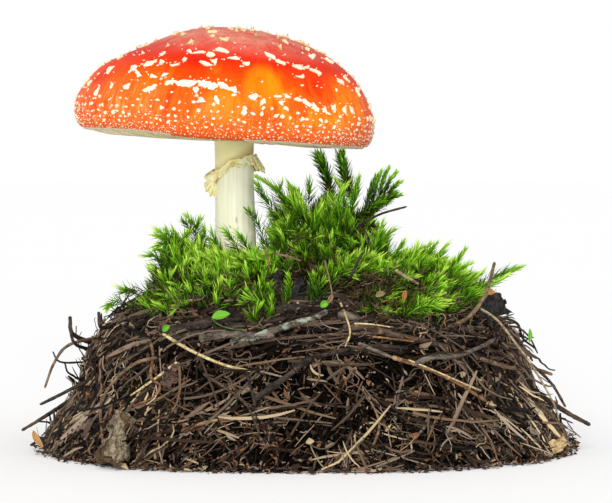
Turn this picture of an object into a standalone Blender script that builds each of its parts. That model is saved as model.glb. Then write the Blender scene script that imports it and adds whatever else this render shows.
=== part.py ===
"""A fly agaric standing in a clump of moss on a small heap of forest litter.

The mushroom is a cap, a stem and the torn ring on the stem. Loose veil warts lie on the cap. The heap is
packed litter with a socket for the stem's bulb. Cushions and tall shoots of moss stand on it, and the larger
twigs, straws, bark flakes and leaves lie on it or stick out of it. Metres, +Z up. The origin is at the
middle of the heap's flat foot. The front of the object faces -Y.
"""

import math
import random

import bmesh
import bpy
from mathutils import Matrix, Vector

MM = 0.001
GAP = 0.4 * MM

# The heap of litter: a steep-sided, flat-topped mound on an oval foot.
HEAP_HALF_WIDTH = 106 * MM
HEAP_HALF_DEPTH = 90 * MM
HEAP_HEIGHT = 61 * MM
HEAP_STEEPNESS = 8
HEAP_LUMP = 1.5 * MM
HEAP_SECTORS = 48
HEAP_RINGS = (0.2, 0.38, 0.53, 0.65, 0.74, 0.81, 0.87, 0.92, 0.96, 0.985)

# The mushroom. The cap is tilted down to its right and a little away from the front.
CAP_RADIUS = 60.3 * MM
CAP_HEIGHT = 44.5 * MM
CAP_CENTRE = Vector((-32.5 * MM, 0, 122.4 * MM))
CAP_ROLL = math.radians(4.4)
CAP_PITCH = math.radians(1.2)
CAP_OUTLINE = (
    (55.6, -0.6),
    (58.9, 2.0),
    (60.3, 6.5),
    (60.0, 12.0),
    (57.0, 18.2),
    (52.2, 25.0),
    (45.4, 31.4),
    (36.4, 36.8),
    (25.0, 40.9),
    (12.5, 43.5),
    (3.0, 44.4),
)
CAP_DOME_RINGS = 11
GILL_PLEATS = 36
GILL_DEPTH = 3.2 * MM
GILL_INNER_RADIUS = 11 * MM
GILL_OUTER_RADIUS = 53.5 * MM
GILL_ROOF = 9 * MM

STEM_X = -27.5 * MM
STEM_FOOT = 30 * MM
STEM_TOP_RADIUS = 8.6 * MM
STEM_SECTORS = 24
STEM_OUTLINE = (
    (10.4, 34.0),
    (12.3, 40.5),
    (11.8, 48.0),
    (10.1, 55.0),
    (8.9, 63.0),
    (8.2, 78.0),
    (7.9, 96.0),
    (7.8, 110.0),
    (8.0, 121.0),
)

RING_SECTORS = 36
RING_INNER_RADIUS = 8.9 * MM
RING_HEIGHT = 111.6 * MM
RING_LEAN = 5.2 * MM
RING_SKIN = 0.9 * MM

# Rows of warts: share of the way up the cap's outline, how many, and their size.
WART_ROWS = ((0.93, 3, 2.3), (0.76, 5, 2.9), (0.56, 6, 2.6))
WART_HEIGHT = 1.1 * MM

CUSHION_CLEARANCE = 1.3 * MM
CUSHION_SECTORS = 22
CUSHION_RINGS = (0.24, 0.45, 0.64, 0.8, 0.93)

SHOOT_SIDES = 8
SHOOT_WIDTHS = (0.45, 0.85, 1.0, 0.95, 0.8, 0.55)
SHOOT_CLEARANCE = 3.0 * MM

TWIG_POINTS = 9
TWIG_TAPER = 0.35

COLOURS = {
    "cap_skin": ((0.78, 0.05, 0.01), 0.25),
    "stem_flesh": ((0.80, 0.76, 0.60), 0.6),
    "veil": ((0.82, 0.74, 0.50), 0.7),
    "litter": ((0.055, 0.033, 0.02), 0.9),
    "moss": ((0.13, 0.30, 0.03), 0.75),
    "dark_twig": ((0.05, 0.035, 0.026), 0.85),
    "brown_twig": ((0.17, 0.09, 0.045), 0.8),
    "straw": ((0.55, 0.42, 0.19), 0.7),
    "bark": ((0.10, 0.075, 0.055), 0.9),
    "green_leaf": ((0.20, 0.50, 0.04), 0.5),
    "dead_leaf": ((0.50, 0.23, 0.06), 0.7),
}

# Each cushion's centre in plan, half width, half depth and height above the heap, in millimetres.
CUSHIONS = {
    "moss_cushion_left": ((-58, -20), 21.5, 35, 22),
    "moss_cushion_front": ((-17, -38), 15.5, 20, 19),
    "moss_cushion_middle": ((14, -7), 26.5, 23, 35),
    "moss_cushion_right": ((63, -8), 20, 40, 23),
    "moss_cushion_back_left": ((-40, 42), 30, 21, 20),
    "moss_cushion_back_right": ((20, 42), 27, 21, 20),
}

# Each tall shoot's foot in plan, tip and radius, in millimetres. Each stands on a cushion.
SHOOTS = {
    "moss_shoot_tall_left": ((9, -6), (7, -9, 116.5), 3.3),
    "moss_shoot_tall_right": ((17, -5), (15, -6, 117), 3.3),
    "moss_shoot_fork_left": ((25, -6), (29, -9, 111), 3.1),
    "moss_shoot_fork_right": ((32, -8), (38, -12, 107), 3.1),
    "moss_shoot_near_stem": ((0, -12), (-9, -14, 101), 2.8),
    "moss_shoot_left": ((-60, -20), (-62, -22, 93), 3.2),
    "moss_shoot_right": ((67, -10), (79, -14, 91), 3.0),
}

# Each twig's finish, diameter, lift off the heap and the points that it runs through, in millimetres. A
# point of two numbers is across and up on the heap's front, and one of three is a place in space.
TWIGS = {
    "black_branch": ("dark_twig", 4.0, 0.4, ((-54, 49), (-36, 53), (-15, 55.5), (1, 56.0))),
    "lichen_twig": ("bark", 3.2, 0.6, ((-27.5, 42), (-12, 47), (6, 51.5))),
    "cut_twig": ("bark", 3.4, 0.4, ((13.5, 53.5), (23, 51))),
    "pale_straw": ("straw", 1.3, 0.3, ((-52, 44.5), (-42, 40.5), (-30, 37.5), (-20, 35.5))),
    "tan_straw": ("straw", 1.2, 0.3, ((-48, 38), (-57, 31.5), (-66, 25))),
    "short_straw": ("straw", 1.3, 4.6, ((14, 54), (16, 49.5), (18, 44))),
    "knobbed_twig": ("dark_twig", 2.2, 0.4, ((-20, 26), (-8, 33.5), (5.5, 42))),
    "split_stick": ("brown_twig", 1.6, 0.3, ((32, 40.5), (49, 32.5), (67, 23))),
    "grey_bent_twig": ("bark", 2.0, 2.0, ((41, 38.5), (55, 40.5), (74, 45))),
    "thin_stick": ("brown_twig", 1.2, 0.3, ((53, 33), (66, 27))),
    "long_side_twig": ("brown_twig", 1.7, 0.3, ((84, 31), (93, -32, 31), (100, -28, 28))),
    "low_side_twig": ("brown_twig", 2.2, 0.3, ((94, 20), (103, -26, 15), (111.5, -22, 10))),
    "upright_twig": ("brown_twig", 1.6, 0.3, ((55, 50), (66, -56, 61), (71, -54, 75))),
    "springing_twig": ("dark_twig", 1.3, 0, ((9, -38, 66), (22, -38, 89), (39, -36, 96))),
    "left_upper_twig": ("dark_twig", 1.8, 0.3, ((-85, 40), (-93, -24, 46), (-93, -23, 53))),
    "left_arched_twig": ("dark_twig", 1.3, 0.3, ((-82, 46), (-96, -36, 42), (-103, -33, 27))),
    "left_low_twig": ("dark_twig", 1.5, 0.3, ((-96, 17), (-104, -30, 13), (-111.5, -26, 8))),
}

# The same, on the back of the heap.
REAR_TWIGS = {
    "rear_twig": ("brown_twig", 2.2, 0.4, ((-58, 40), (-30, 43), (8, 38))),
    "rear_branch": ("dark_twig", 3.2, 0.4, ((24, 22), (52, 31), (74, 36))),
}

# Each flake's finish, thickness, width and length, place across and up on the heap's front, lift off it
# and turn in its own plane, in millimetres and degrees.
FLAKES = {
    "bark_flake_left": ("bark", 3.2, (11, 20), (-66, 12.5), 0.5, 8),
    "bark_flake_right": ("bark", 1.6, (14, 11), (81, 41), 0.8, 20),
    "wood_chip": ("straw", 1.6, (11, 6), (91, 8), 0.5, -12),
    "dead_leaf_left": ("dead_leaf", 0.8, (11, 5), (-98, 8), 0.6, 25),
    "green_leaf": ("green_leaf", 0.7, (8.4, 4.6), (-33, 56), 6.0, -8),
}
LEAF_SIDES = 16
BARK_SIDES = 9


def clear_scene():
    for old in list(bpy.data.objects):
        bpy.data.objects.remove(old)


def finish_material(name):
    """The named finish, made once."""
    made = bpy.data.materials.get(name)
    if made:
        return made
    colour, roughness = COLOURS[name]
    made = bpy.data.materials.new(name)
    made.use_nodes = True
    shader = made.node_tree.nodes["Principled BSDF"]
    shader.inputs["Base Color"].default_value = (*colour, 1)
    shader.inputs["Roughness"].default_value = roughness
    shader.inputs["Metallic"].default_value = 0
    return made


def place(name, mesh, finish, smooth=True):
    """Adds a mesh to the scene as one named node."""
    node = bpy.data.objects.new(name, mesh)
    bpy.context.scene.collection.objects.link(node)
    mesh.materials.append(finish_material(finish))
    if smooth:
        mesh.shade_smooth()
        mesh.set_sharp_from_angle(angle=math.radians(50))
    return node


def mesh_from(work, name):
    """Turns a finished bmesh into a mesh whose faces point out."""
    bmesh.ops.recalc_face_normals(work, faces=work.faces)
    mesh = bpy.data.meshes.new(name)
    work.to_mesh(mesh)
    work.free()
    return mesh


def bridge(work, lower, upper):
    """Joins two rings of the same count with a band of faces."""
    count = len(lower)
    for i in range(count):
        after = (i + 1) % count
        work.faces.new((lower[i], lower[after], upper[after], upper[i]))


def fan(work, ring, middle):
    """Closes a ring onto one point."""
    centre = work.verts.new(middle)
    for i in range(len(ring)):
        work.faces.new((ring[i], ring[(i + 1) % len(ring)], centre))


def stacked(name, rings, first, last):
    """One closed mesh from a stack of equal rings, with an end point below and one above."""
    work = bmesh.new()
    made = [[work.verts.new(point) for point in ring] for ring in rings]
    for lower, upper in zip(made, made[1:]):
        bridge(work, lower, upper)
    fan(work, made[0], first)
    fan(work, made[-1], last)
    return mesh_from(work, name)


def circle(centre, radius, sectors):
    """A level ring of points about a centre."""
    turns = (math.tau * i / sectors for i in range(sectors))
    return [centre + Vector((radius * math.cos(a), radius * math.sin(a), 0)) for a in turns]


def oval(centre, half_width, half_depth, share, sectors):
    """Plan points of an oval, shrunk to a share of its size."""
    turns = (math.tau * i / sectors for i in range(sectors))
    x, y = centre
    return [(x + half_width * share * math.cos(a), y + half_depth * share * math.sin(a)) for a in turns]


def smooth_route(points, count):
    """Points spread along a smooth curve through the given ones, by Catmull-Rom spans."""
    held = [2 * points[0] - points[1], *points, 2 * points[-1] - points[-2]]
    spans = len(points) - 1
    route = []
    for step in range(count):
        along = step / (count - 1) * spans
        i = min(int(along), spans - 1)
        t = along - i
        a, b, c, d = held[i : i + 4]
        bend = 2 * a - 5 * b + 4 * c - d
        twist = 3 * b - a - 3 * c + d
        route.append(0.5 * (2 * b + (c - a) * t + bend * t * t + twist * t**3))
    return route


def heap_top(x, y):
    """The height of the heap's surface above a plan point."""
    reach = min(math.hypot(x / HEAP_HALF_WIDTH, y / HEAP_HALF_DEPTH), 1)
    lumps = math.sin(x * 70 + 1.3) * math.cos(y * 64 - 0.6)
    return (HEAP_HEIGHT + HEAP_LUMP * lumps) * (1 - reach**HEAP_STEEPNESS)


def heap_slope(x, y):
    """The direction straight out of the heap's surface above a plan point."""
    step = 0.5 * MM
    across = (heap_top(x + step, y) - heap_top(x - step, y)) / (2 * step)
    inward = (heap_top(x, y + step) - heap_top(x, y - step)) / (2 * step)
    return Vector((-across, -inward, 1)).normalized()


def heap_side(x, z, back=False):
    """The point on the heap's front or back at this place across and up."""
    edge, middle = (HEAP_HALF_DEPTH if back else -HEAP_HALF_DEPTH), 0.0
    for _ in range(40):
        y = (edge + middle) / 2
        if heap_top(x, y) < z:
            edge = y
        else:
            middle = y
    return Vector((x, y, heap_top(x, y)))


def litter_heap():
    """The heap, flat below, with a socket that clears the stem and its bulb."""
    half = (HEAP_HALF_WIDTH, HEAP_HALF_DEPTH)
    foot = [(x, y, 0) for x, y in oval((0, 0), *half, 1, HEAP_SECTORS)]
    rings = [foot]
    for share in reversed(HEAP_RINGS):
        rings.append([(x, y, heap_top(x, y)) for x, y in oval((0, 0), *half, share, HEAP_SECTORS)])
    mesh = stacked("litter_heap", rings, (0, 0, 0), (0, 0, heap_top(0, 0)))
    heap = place("litter_heap", mesh, "litter")
    socket = bpy.data.objects.new("stem_socket_cutter", stem_mesh("stem_socket", 2 * GAP))
    bpy.context.scene.collection.objects.link(socket)
    socket.hide_render = True
    socket.display_type = "WIRE"
    cut = heap.modifiers.new("stem_socket", "BOOLEAN")
    cut.operation = "DIFFERENCE"
    cut.object = socket


def cap_frame():
    """The matrix from the cap's own frame, whose XY plane is the rim, to the object's."""
    roll = Matrix.Rotation(CAP_ROLL, 4, "Y")
    pitch = Matrix.Rotation(-CAP_PITCH, 4, "X")
    return Matrix.Translation(CAP_CENTRE) @ roll @ pitch


def cap_outline(count):
    """Radius and height along the dome, from the rim's underside to the crown."""
    return smooth_route([Vector(point) * MM for point in CAP_OUTLINE], count)


def pleated_ring(radius, height, depth):
    """A ring of the gills' underside, drawn towards the stem near the middle of the cap."""
    inwards = (GILL_OUTER_RADIUS - radius) / (GILL_OUTER_RADIUS - GILL_INNER_RADIUS)
    centre = Vector(((STEM_X - CAP_CENTRE.x) * inwards, 0, height))
    ring = circle(centre, radius, 2 * GILL_PLEATS)
    for i, point in enumerate(ring):
        point.z += depth / 2 if i % 2 else -depth / 2
    return ring


def cap():
    """The dome, rolled in at its rim, with pleated gills below that stop short of the stem."""
    middle = GILL_DEPTH / 2 - GAP
    rings = [
        pleated_ring(GILL_INNER_RADIUS, GILL_ROOF, 0),
        pleated_ring(GILL_INNER_RADIUS + GAP, middle, GILL_DEPTH / 2),
        pleated_ring(24 * MM, middle, GILL_DEPTH),
        pleated_ring(44 * MM, middle, GILL_DEPTH),
        pleated_ring(GILL_OUTER_RADIUS, 0.4 * MM, 0),
    ]
    roof_centre = Vector((STEM_X - CAP_CENTRE.x, 0, GILL_ROOF))
    for radius, height in cap_outline(CAP_DOME_RINGS):
        rings.append(circle(Vector((0, 0, height)), radius, 2 * GILL_PLEATS))
    mesh = stacked("cap", rings, roof_centre, (0, 0, CAP_HEIGHT))
    mesh.transform(cap_frame())
    place("cap", mesh, "cap_skin")


def stem_mesh(name, grow=0.0):
    """The stem as a turned outline whose top follows the cap's tilt. It can be grown to its clearance."""
    rings = []
    for radius, height in STEM_OUTLINE:
        centre = Vector((STEM_X, 0, height * MM))
        rings.append(circle(centre, radius * MM + grow, STEM_SECTORS))
    frame = cap_frame()
    top = frame.inverted() @ Vector((STEM_X, 0, CAP_CENTRE.z))
    top.z = GILL_ROOF - GAP
    rings.append([frame @ point for point in circle(top, STEM_TOP_RADIUS + grow, STEM_SECTORS)])
    return stacked(name, rings, (STEM_X, 0, STEM_FOOT - grow), frame @ top)


def stem():
    place("stem", stem_mesh("stem"), "stem_flesh")


def ring_section(turn):
    """One section of the ring as radius and height pairs. It hangs lower on the left and flares twice."""
    left = max(0, -math.cos(turn))
    right = max(0, math.cos(turn))
    back = max(0, math.sin(turn))
    flare = (1.0 + 5.6 * left**3 + 4.6 * right**3 + 3.0 * back**2) * MM
    hang = (5.0 + 3.4 * left**2 + 0.8 * math.sin(turn * 9)) * MM
    top = RING_HEIGHT + RING_LEAN * math.cos(turn)
    inner = RING_INNER_RADIUS
    return (
        (inner, top),
        (inner + RING_SKIN, top),
        (inner + RING_SKIN + flare, top - hang * 0.55),
        (inner + RING_SKIN + flare, top - hang),
        (inner + flare, top - hang),
        (inner + flare * 0.75, top - hang * 0.6),
    )


def ring_on_stem():
    """The torn veil: a leaning collar round the stem."""
    work = bmesh.new()
    made = []
    for i in range(RING_SECTORS):
        turn = math.tau * i / RING_SECTORS
        points = [(STEM_X + r * math.cos(turn), r * math.sin(turn), z) for r, z in ring_section(turn)]
        made.append([work.verts.new(point) for point in points])
    for here, after in zip(made, made[1:] + made[:1]):
        bridge(work, here, after)
    place("ring", mesh_from(work, "ring"), "veil")


def cap_seat(share, turn):
    """A point on the cap's skin and the way out of it there, in the cap's frame."""
    outline = cap_outline(101)
    index = round(share * 100)
    radius, height = outline[index]
    along = outline[index + 1] - outline[index - 1]
    radial = Vector((math.cos(turn), math.sin(turn), 0))
    outward = (radial * along.y - Vector((0, 0, along.x))).normalized()
    return radial * radius + Vector((0, 0, height)), outward


def wart(name, share, turn, size, chance):
    """A low uneven pyramid, just clear of the cap's skin."""
    work = bmesh.new()
    bmesh.ops.create_cone(
        work, cap_ends=True, segments=7, radius1=size, radius2=size * 0.5, depth=WART_HEIGHT
    )
    for vert in work.verts:
        vert.co.x *= chance.uniform(0.75, 1.25)
        vert.co.y *= chance.uniform(0.6, 1.0)
    seat, outward = cap_seat(share, turn)
    sag = (1.25 * size) ** 2 / (2 * CAP_HEIGHT)
    lift = WART_HEIGHT / 2 + sag + GAP
    spin = Matrix.Rotation(turn, 4, "Z")
    turned = outward.to_track_quat("Z", "Y").to_matrix().to_4x4()
    matrix = cap_frame() @ Matrix.Translation(seat + outward * lift) @ turned @ spin
    bmesh.ops.transform(work, matrix=matrix, verts=work.verts)
    place(name, mesh_from(work, name), "veil", smooth=False)


def warts():
    """The larger loose warts, in rows round the cap."""
    chance = random.Random(7)
    number = 0
    for share, count, size in WART_ROWS:
        for i in range(count):
            number += 1
            turn = math.tau * (i + 0.3 * chance.random()) / count + share * 9
            wart(f"wart_{number:02d}", share, turn, size * MM * chance.uniform(0.8, 1.2), chance)


def cushion_bottom(x, y):
    return heap_top(x, y) + CUSHION_CLEARANCE


def cushion_top(cushion, x, y):
    """The height of a moss cushion's surface above a plan point."""
    (cx, cy), half_width, half_depth, height = cushion
    away = math.hypot((x / MM - cx) / half_width, (y / MM - cy) / half_depth)
    dome = max(0, 1 - away**2.6) ** 0.7
    tufts = 0.85 + 0.15 * math.sin(x * 260 + cy) * math.sin(y * 240 + cx)
    return cushion_bottom(x, y) + height * MM * dome * tufts


def moss_cushions():
    """Cushions of moss that follow the heap below and swell into soft domes."""
    for name, cushion in CUSHIONS.items():
        (cx, cy), half_width, half_depth, _ = cushion
        centre = (cx * MM, cy * MM)
        half = (half_width * MM, half_depth * MM)
        rings = []
        for share in CUSHION_RINGS:
            plan = oval(centre, *half, share, CUSHION_SECTORS)
            rings.append([(x, y, cushion_bottom(x, y)) for x, y in plan])
        edge = oval(centre, *half, 1, CUSHION_SECTORS)
        rings.append([(x, y, cushion_bottom(x, y) + GAP) for x, y in edge])
        for share in reversed(CUSHION_RINGS):
            plan = oval(centre, *half, share, CUSHION_SECTORS)
            rings.append([(x, y, cushion_top(cushion, x, y)) for x, y in plan])
        low = (*centre, cushion_bottom(*centre))
        high = (*centre, cushion_top(cushion, *centre))
        place(name, stacked(name, rings, low, high), "moss")


def moss_shoots():
    """Tall single shoots: tapered, slightly bent spindles that stand on the cushions."""
    for name, (foot, tip, radius) in SHOOTS.items():
        x, y = Vector(foot) * MM
        ground = max(cushion_top(cushion, x, y) for cushion in CUSHIONS.values())
        low = Vector((x, y, ground + SHOOT_CLEARANCE))
        high = Vector(tip) * MM
        bend = (low + high) / 2 + Vector((-MM, 0, MM))
        route = smooth_route([low, bend, high], len(SHOOT_WIDTHS) + 1)
        rings = [
            circle(middle, radius * MM * width, SHOOT_SIDES)
            for middle, width in zip(route, SHOOT_WIDTHS)
        ]
        foot_point = low - Vector((0, 0, GAP))
        place(name, stacked(name, rings, foot_point, high), "moss")


def twig_place(point, stand_off, back):
    """A twig's point in space, from one on the heap's side or one given whole."""
    if len(point) == 3:
        return Vector(point) * MM
    here = heap_side(point[0] * MM, point[1] * MM, back)
    return here + heap_slope(here.x, here.y) * stand_off


def twig(name, finish, diameter, lift, points, back=False):
    """A round twig or straw on a smooth route, tapered towards its far end."""
    stand_off = (lift + diameter / 2) * MM + GAP
    route = smooth_route([twig_place(point, stand_off, back) for point in points], TWIG_POINTS)
    curve = bpy.data.curves.new(name, "CURVE")
    curve.dimensions = "3D"
    curve.bevel_depth = diameter / 2 * MM
    curve.bevel_resolution = 2
    curve.use_fill_caps = True
    spline = curve.splines.new("POLY")
    spline.points.add(TWIG_POINTS - 1)
    for i, here in enumerate(route):
        spline.points[i].co = (*here, 1)
        spline.points[i].radius = 1 - TWIG_TAPER * i / (TWIG_POINTS - 1)
    curve.materials.append(finish_material(finish))
    bpy.context.scene.collection.objects.link(bpy.data.objects.new(name, curve))


def twigs():
    for name, spec in TWIGS.items():
        twig(name, *spec)
    for name, spec in REAR_TWIGS.items():
        twig(name, *spec, back=True)


def leaf_outline(width, length):
    """An oval drawn in towards its two ends."""
    points = []
    for i in range(LEAF_SIDES):
        a = math.tau * i / LEAF_SIDES
        pinch = 1 - 0.25 * abs(math.cos(a)) ** 3
        points.append((width / 2 * math.cos(a), length / 2 * pinch * math.sin(a), 0))
    return points


def bark_outline(width, length, chance):
    """A broken oval with uneven corners."""
    points = []
    for i in range(BARK_SIDES):
        a = math.tau * i / BARK_SIDES
        reach = chance.uniform(0.8, 1.12)
        points.append((width / 2 * reach * math.cos(a), length / 2 * reach * math.sin(a), 0))
    return points


def flakes():
    """Flat loose pieces that lie on the heap's front: bark, a wood chip and leaves."""
    for name, (finish, thickness, size, where, lift, turn) in FLAKES.items():
        width, length = Vector(size) * MM
        if finish in ("green_leaf", "dead_leaf"):
            outline = leaf_outline(width, length)
        else:
            outline = bark_outline(width, length, random.Random(len(name)))
        work = bmesh.new()
        face = work.faces.new([work.verts.new(point) for point in outline])
        grown = bmesh.ops.extrude_face_region(work, geom=[face])
        raised = [item for item in grown["geom"] if isinstance(item, bmesh.types.BMVert)]
        bmesh.ops.translate(work, verts=raised, vec=(0, 0, thickness * MM))
        here = heap_side(where[0] * MM, where[1] * MM)
        outward = heap_slope(here.x, here.y)
        lie = outward.to_track_quat("Z", "Y").to_matrix().to_4x4()
        spin = Matrix.Rotation(math.radians(turn), 4, "Z")
        node = place(name, mesh_from(work, name), finish, smooth=False)
        node.matrix_world = Matrix.Translation(here + outward * (lift * MM + GAP)) @ lie @ spin


def main():
    clear_scene()
    litter_heap()
    cap()
    stem()
    ring_on_stem()
    warts()
    moss_cushions()
    moss_shoots()
    twigs()
    flakes()


main()
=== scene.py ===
"""The finished look of a fly agaric standing in a clump of moss on a heap of forest litter.

The cap, its gills, the stem and the torn ring are turned and shaped on their own. Warts are bent onto the
cap. Moss is grown leaf by leaf on shoots, and the litter is laid strand by strand over a dark lumpy core,
with the larger twigs, straws, bark flakes and leaves made one at a time. Metres, +Z up, the front is -Y.
"""

import math
import random

import bpy
import numpy as np
from bpy.props import FloatProperty, FloatVectorProperty, IntProperty, PointerProperty
from mathutils import Euler, Matrix, Vector, noise


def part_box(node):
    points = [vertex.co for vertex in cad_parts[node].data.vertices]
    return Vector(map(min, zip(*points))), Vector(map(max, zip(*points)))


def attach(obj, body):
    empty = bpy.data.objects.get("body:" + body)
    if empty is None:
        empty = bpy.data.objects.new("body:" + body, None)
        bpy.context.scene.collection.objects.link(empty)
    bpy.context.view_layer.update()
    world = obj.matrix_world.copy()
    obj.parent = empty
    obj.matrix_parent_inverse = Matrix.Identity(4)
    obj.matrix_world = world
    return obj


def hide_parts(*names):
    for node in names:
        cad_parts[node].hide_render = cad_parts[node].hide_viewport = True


bl_info = {
    "name": "Fly Agaric in Moss",
    "version": (1, 0, 0),
    "blender": (4, 5, 0),
    "location": "View3D > Sidebar > Agaric",
    "description": "Builds a fly agaric in a clump of moss and forest litter round its CAD solids",
    "category": "Object",
}

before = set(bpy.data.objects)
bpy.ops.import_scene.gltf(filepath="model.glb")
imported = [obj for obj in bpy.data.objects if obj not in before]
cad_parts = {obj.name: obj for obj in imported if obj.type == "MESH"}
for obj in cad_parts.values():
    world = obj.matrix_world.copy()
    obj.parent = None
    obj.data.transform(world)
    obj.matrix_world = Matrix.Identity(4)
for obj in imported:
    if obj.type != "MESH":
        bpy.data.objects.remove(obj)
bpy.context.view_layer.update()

MM = 0.001
BODY = "root"
PALETTE_MAP = "OFBake"
GOLDEN_TURN = math.pi * (3 - math.sqrt(5))

# The cap's side, from the crown to the rim's underside, as shares of its radius out and up.
CAP_SIDE = (
    (0.0, 0.738), (0.05, 0.736), (0.207, 0.721), (0.415, 0.678), (0.604, 0.610), (0.753, 0.521),
    (0.866, 0.415), (0.945, 0.302), (0.995, 0.199), (1.0, 0.108), (0.977, 0.033), (0.922, -0.010),
)
# The flesh under the cap, from its edge to the middle, and the line that the gills hang from, as such shares.
CAP_UNDERSIDE = (
    (0.895, 0.001), (0.87, 0.022), (0.80, 0.060), (0.66, 0.105), (0.45, 0.135), (0.25, 0.149), (0.0, 0.149),
)
GILL_ROOF = ((0.25, 0.149), (0.45, 0.135), (0.66, 0.105), (0.80, 0.060), (0.87, 0.022), (0.91, 0.004))
CAP_PLACE = Vector((-0.0325, 0, 0.1224))
CAP_TILT = Euler((math.radians(-0.1), math.radians(4.4), 0))

# The stem's outline, as radius and height in millimetres, and where its axis stands.
STEM_SIDE = (
    (10.4, 34.0), (12.3, 40.5), (11.8, 48.0), (10.1, 55.0), (8.9, 63.0),
    (8.2, 78.0), (7.9, 96.0), (7.8, 110.0), (8.0, 121.0), (8.4, 130.0),
)
STEM_X = -27.5 * MM
SHRED_COUNT = 190

# The heap's loose surface: how square its shoulders are, and its top. Cushions of moss stand on the top.
HEAP_STEEPNESS = 5
HEAP_ROUNDNESS = 2.4
HEAP_TOP = 63 * MM
CUSHION_BASE = 62.3 * MM
LOOSE_LAYER = 2.5 * MM
# How many steps the heap's side is followed in, and how many pieces its strands are split over.
SIDE_STEPS = 160
STRAND_BATCHES = 4
# No strand turns round the heap more tightly than it would at this distance from the axis.
LEAST_GIRTH = 25 * MM
# No point of a loose piece comes nearer to the floor than this.
FLOOR_GAP = 0.1 * MM
HEAP_LOW, HEAP_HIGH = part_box("litter_heap")
HEAP_HALF_WIDTH = (HEAP_HIGH.x - HEAP_LOW.x) / 2 - LOOSE_LAYER
HEAP_HALF_DEPTH = (HEAP_HIGH.y - HEAP_LOW.y) / 2 - LOOSE_LAYER


# ---------------------------------------------------------------- settings


def length_property(label, about, default):
    limits = {"min": 0, "subtype": "DISTANCE", "unit": "LENGTH"}
    return FloatProperty(name=label, description=about, default=default, **limits)


def colour_property(label, about, default):
    limits = {"min": 0, "max": 1, "size": 3, "subtype": "COLOR"}
    return FloatVectorProperty(name=label, description=about, default=default, **limits)


def angle_property(label, about, degrees):
    return FloatProperty(name=label, description=about, default=math.radians(degrees), subtype="ANGLE")


def number_property(label, about, default):
    return FloatProperty(name=label, description=about, default=default, min=0)


def count_property(label, about, default):
    return IntProperty(name=label, description=about, default=default, min=0)


class StageSettings(bpy.types.PropertyGroup):
    floor_radius: length_property("Floor radius", "How far the pale floor reaches", 9.0)
    floor_colour: colour_property("Floor colour", "Colour of the floor", (0.98, 0.98, 0.98))
    sky_strength: number_property("Surrounding light", "Strength of the even light", 0.60)
    fill_power: number_property("Fill light", "Strength of the low light in front", 2.15)
    fill_softness: angle_property("Fill softness", "How wide the fill light is", 36)
    key_power: number_property("Key light", "Strength of the large soft light", 1.55)
    key_softness: angle_property("Key softness", "How wide the key light is", 30)
    camera_distance: length_property("Camera distance", "Camera to the object's middle", 0.95)
    camera_height: length_property("Camera height", "Camera above the floor", 0.116)
    camera_pitch: angle_property("Camera pitch", "How far the camera looks down", 2.33)
    camera_lens: number_property("Camera lens", "Focal length in millimetres", 139.7)


class MushroomSettings(bpy.types.PropertyGroup):
    cap_radius: length_property("Cap radius", "From the cap's axis to its rim", 60.3 * MM)
    cap_red: colour_property("Cap red", "The deep red of the upper cap", (0.60, 0.009, 0.0005))
    cap_orange: colour_property("Cap orange", "The orange of the lower cap", (0.82, 0.086, 0.001))
    flesh: colour_property("Flesh", "The pale flesh under the cap", (0.80, 0.75, 0.58))
    gill_count: count_property("Gills", "Full gills under the cap", 120)
    fleck_count: count_property("Rim flecks", "Small flecks of veil near the rim", 1150)


class MossSettings(bpy.types.PropertyGroup):
    leaf_length: length_property("Leaf length", "A leaf from the stalk to its tip", 6.4 * MM)
    leaf_width: length_property("Leaf width", "A leaf at its widest", 0.64 * MM)
    spacing: length_property("Shoot spacing", "Between neighbouring shoots", 3.75 * MM)


class LitterSettings(bpy.types.PropertyGroup):
    strand_count: count_property("Strands", "Needles and rootlets on the heap", 12400)
    chip_count: count_property("Chips", "Crumbs and flakes on the heap", 9000)
    strand_radius: length_property("Strand radius", "Half an average needle's thickness", 0.36 * MM)
    strand_length: length_property("Strand length", "An average needle's length", 12.5 * MM)
    rootlet_count: count_property("Rootlets", "Thin curly roots on the heap's sides", 300)
    long_twig_count: count_property("Long twigs", "Thin twigs on the heap's upper slopes", 200)


# ---------------------------------------------------------------- shading


class Signal:
    """A value or colour on its way through a shader. Arithmetic on a value adds its maths nodes."""

    def __init__(self, finish, socket):
        self.finish = finish
        self.socket = socket

    def maths(self, operation, *terms):
        return self.finish.node("Math", {"operation": operation}, dict(enumerate(terms)))

    def other(self, name):
        """Another output of the same node."""
        return Signal(self.finish, self.socket.node.outputs[name])

    def __add__(self, term):
        return self.maths("ADD", self, term)

    def __sub__(self, term):
        return self.maths("SUBTRACT", self, term)

    def __rsub__(self, term):
        return self.maths("SUBTRACT", term, self)

    def __mul__(self, term):
        return self.maths("MULTIPLY", self, term)

    def __truediv__(self, term):
        return self.maths("DIVIDE", self, term)

    def __pow__(self, term):
        return self.maths("POWER", self, term)

    __radd__ = __add__
    __rmul__ = __mul__

    def rise(self, low, high):
        """0 below low, 1 above high, and a smooth rise between."""
        settings = {"interpolation_type": "SMOOTHSTEP"}
        return self.finish.node("MapRange", settings, {"Value": self, "From Min": low, "From Max": high})

    def ramp(self, *stops):
        """A colour from stops of (place, colour)."""
        return self.finish.node("ValToRGB", {"stops": stops}, {"Fac": self})


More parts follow.
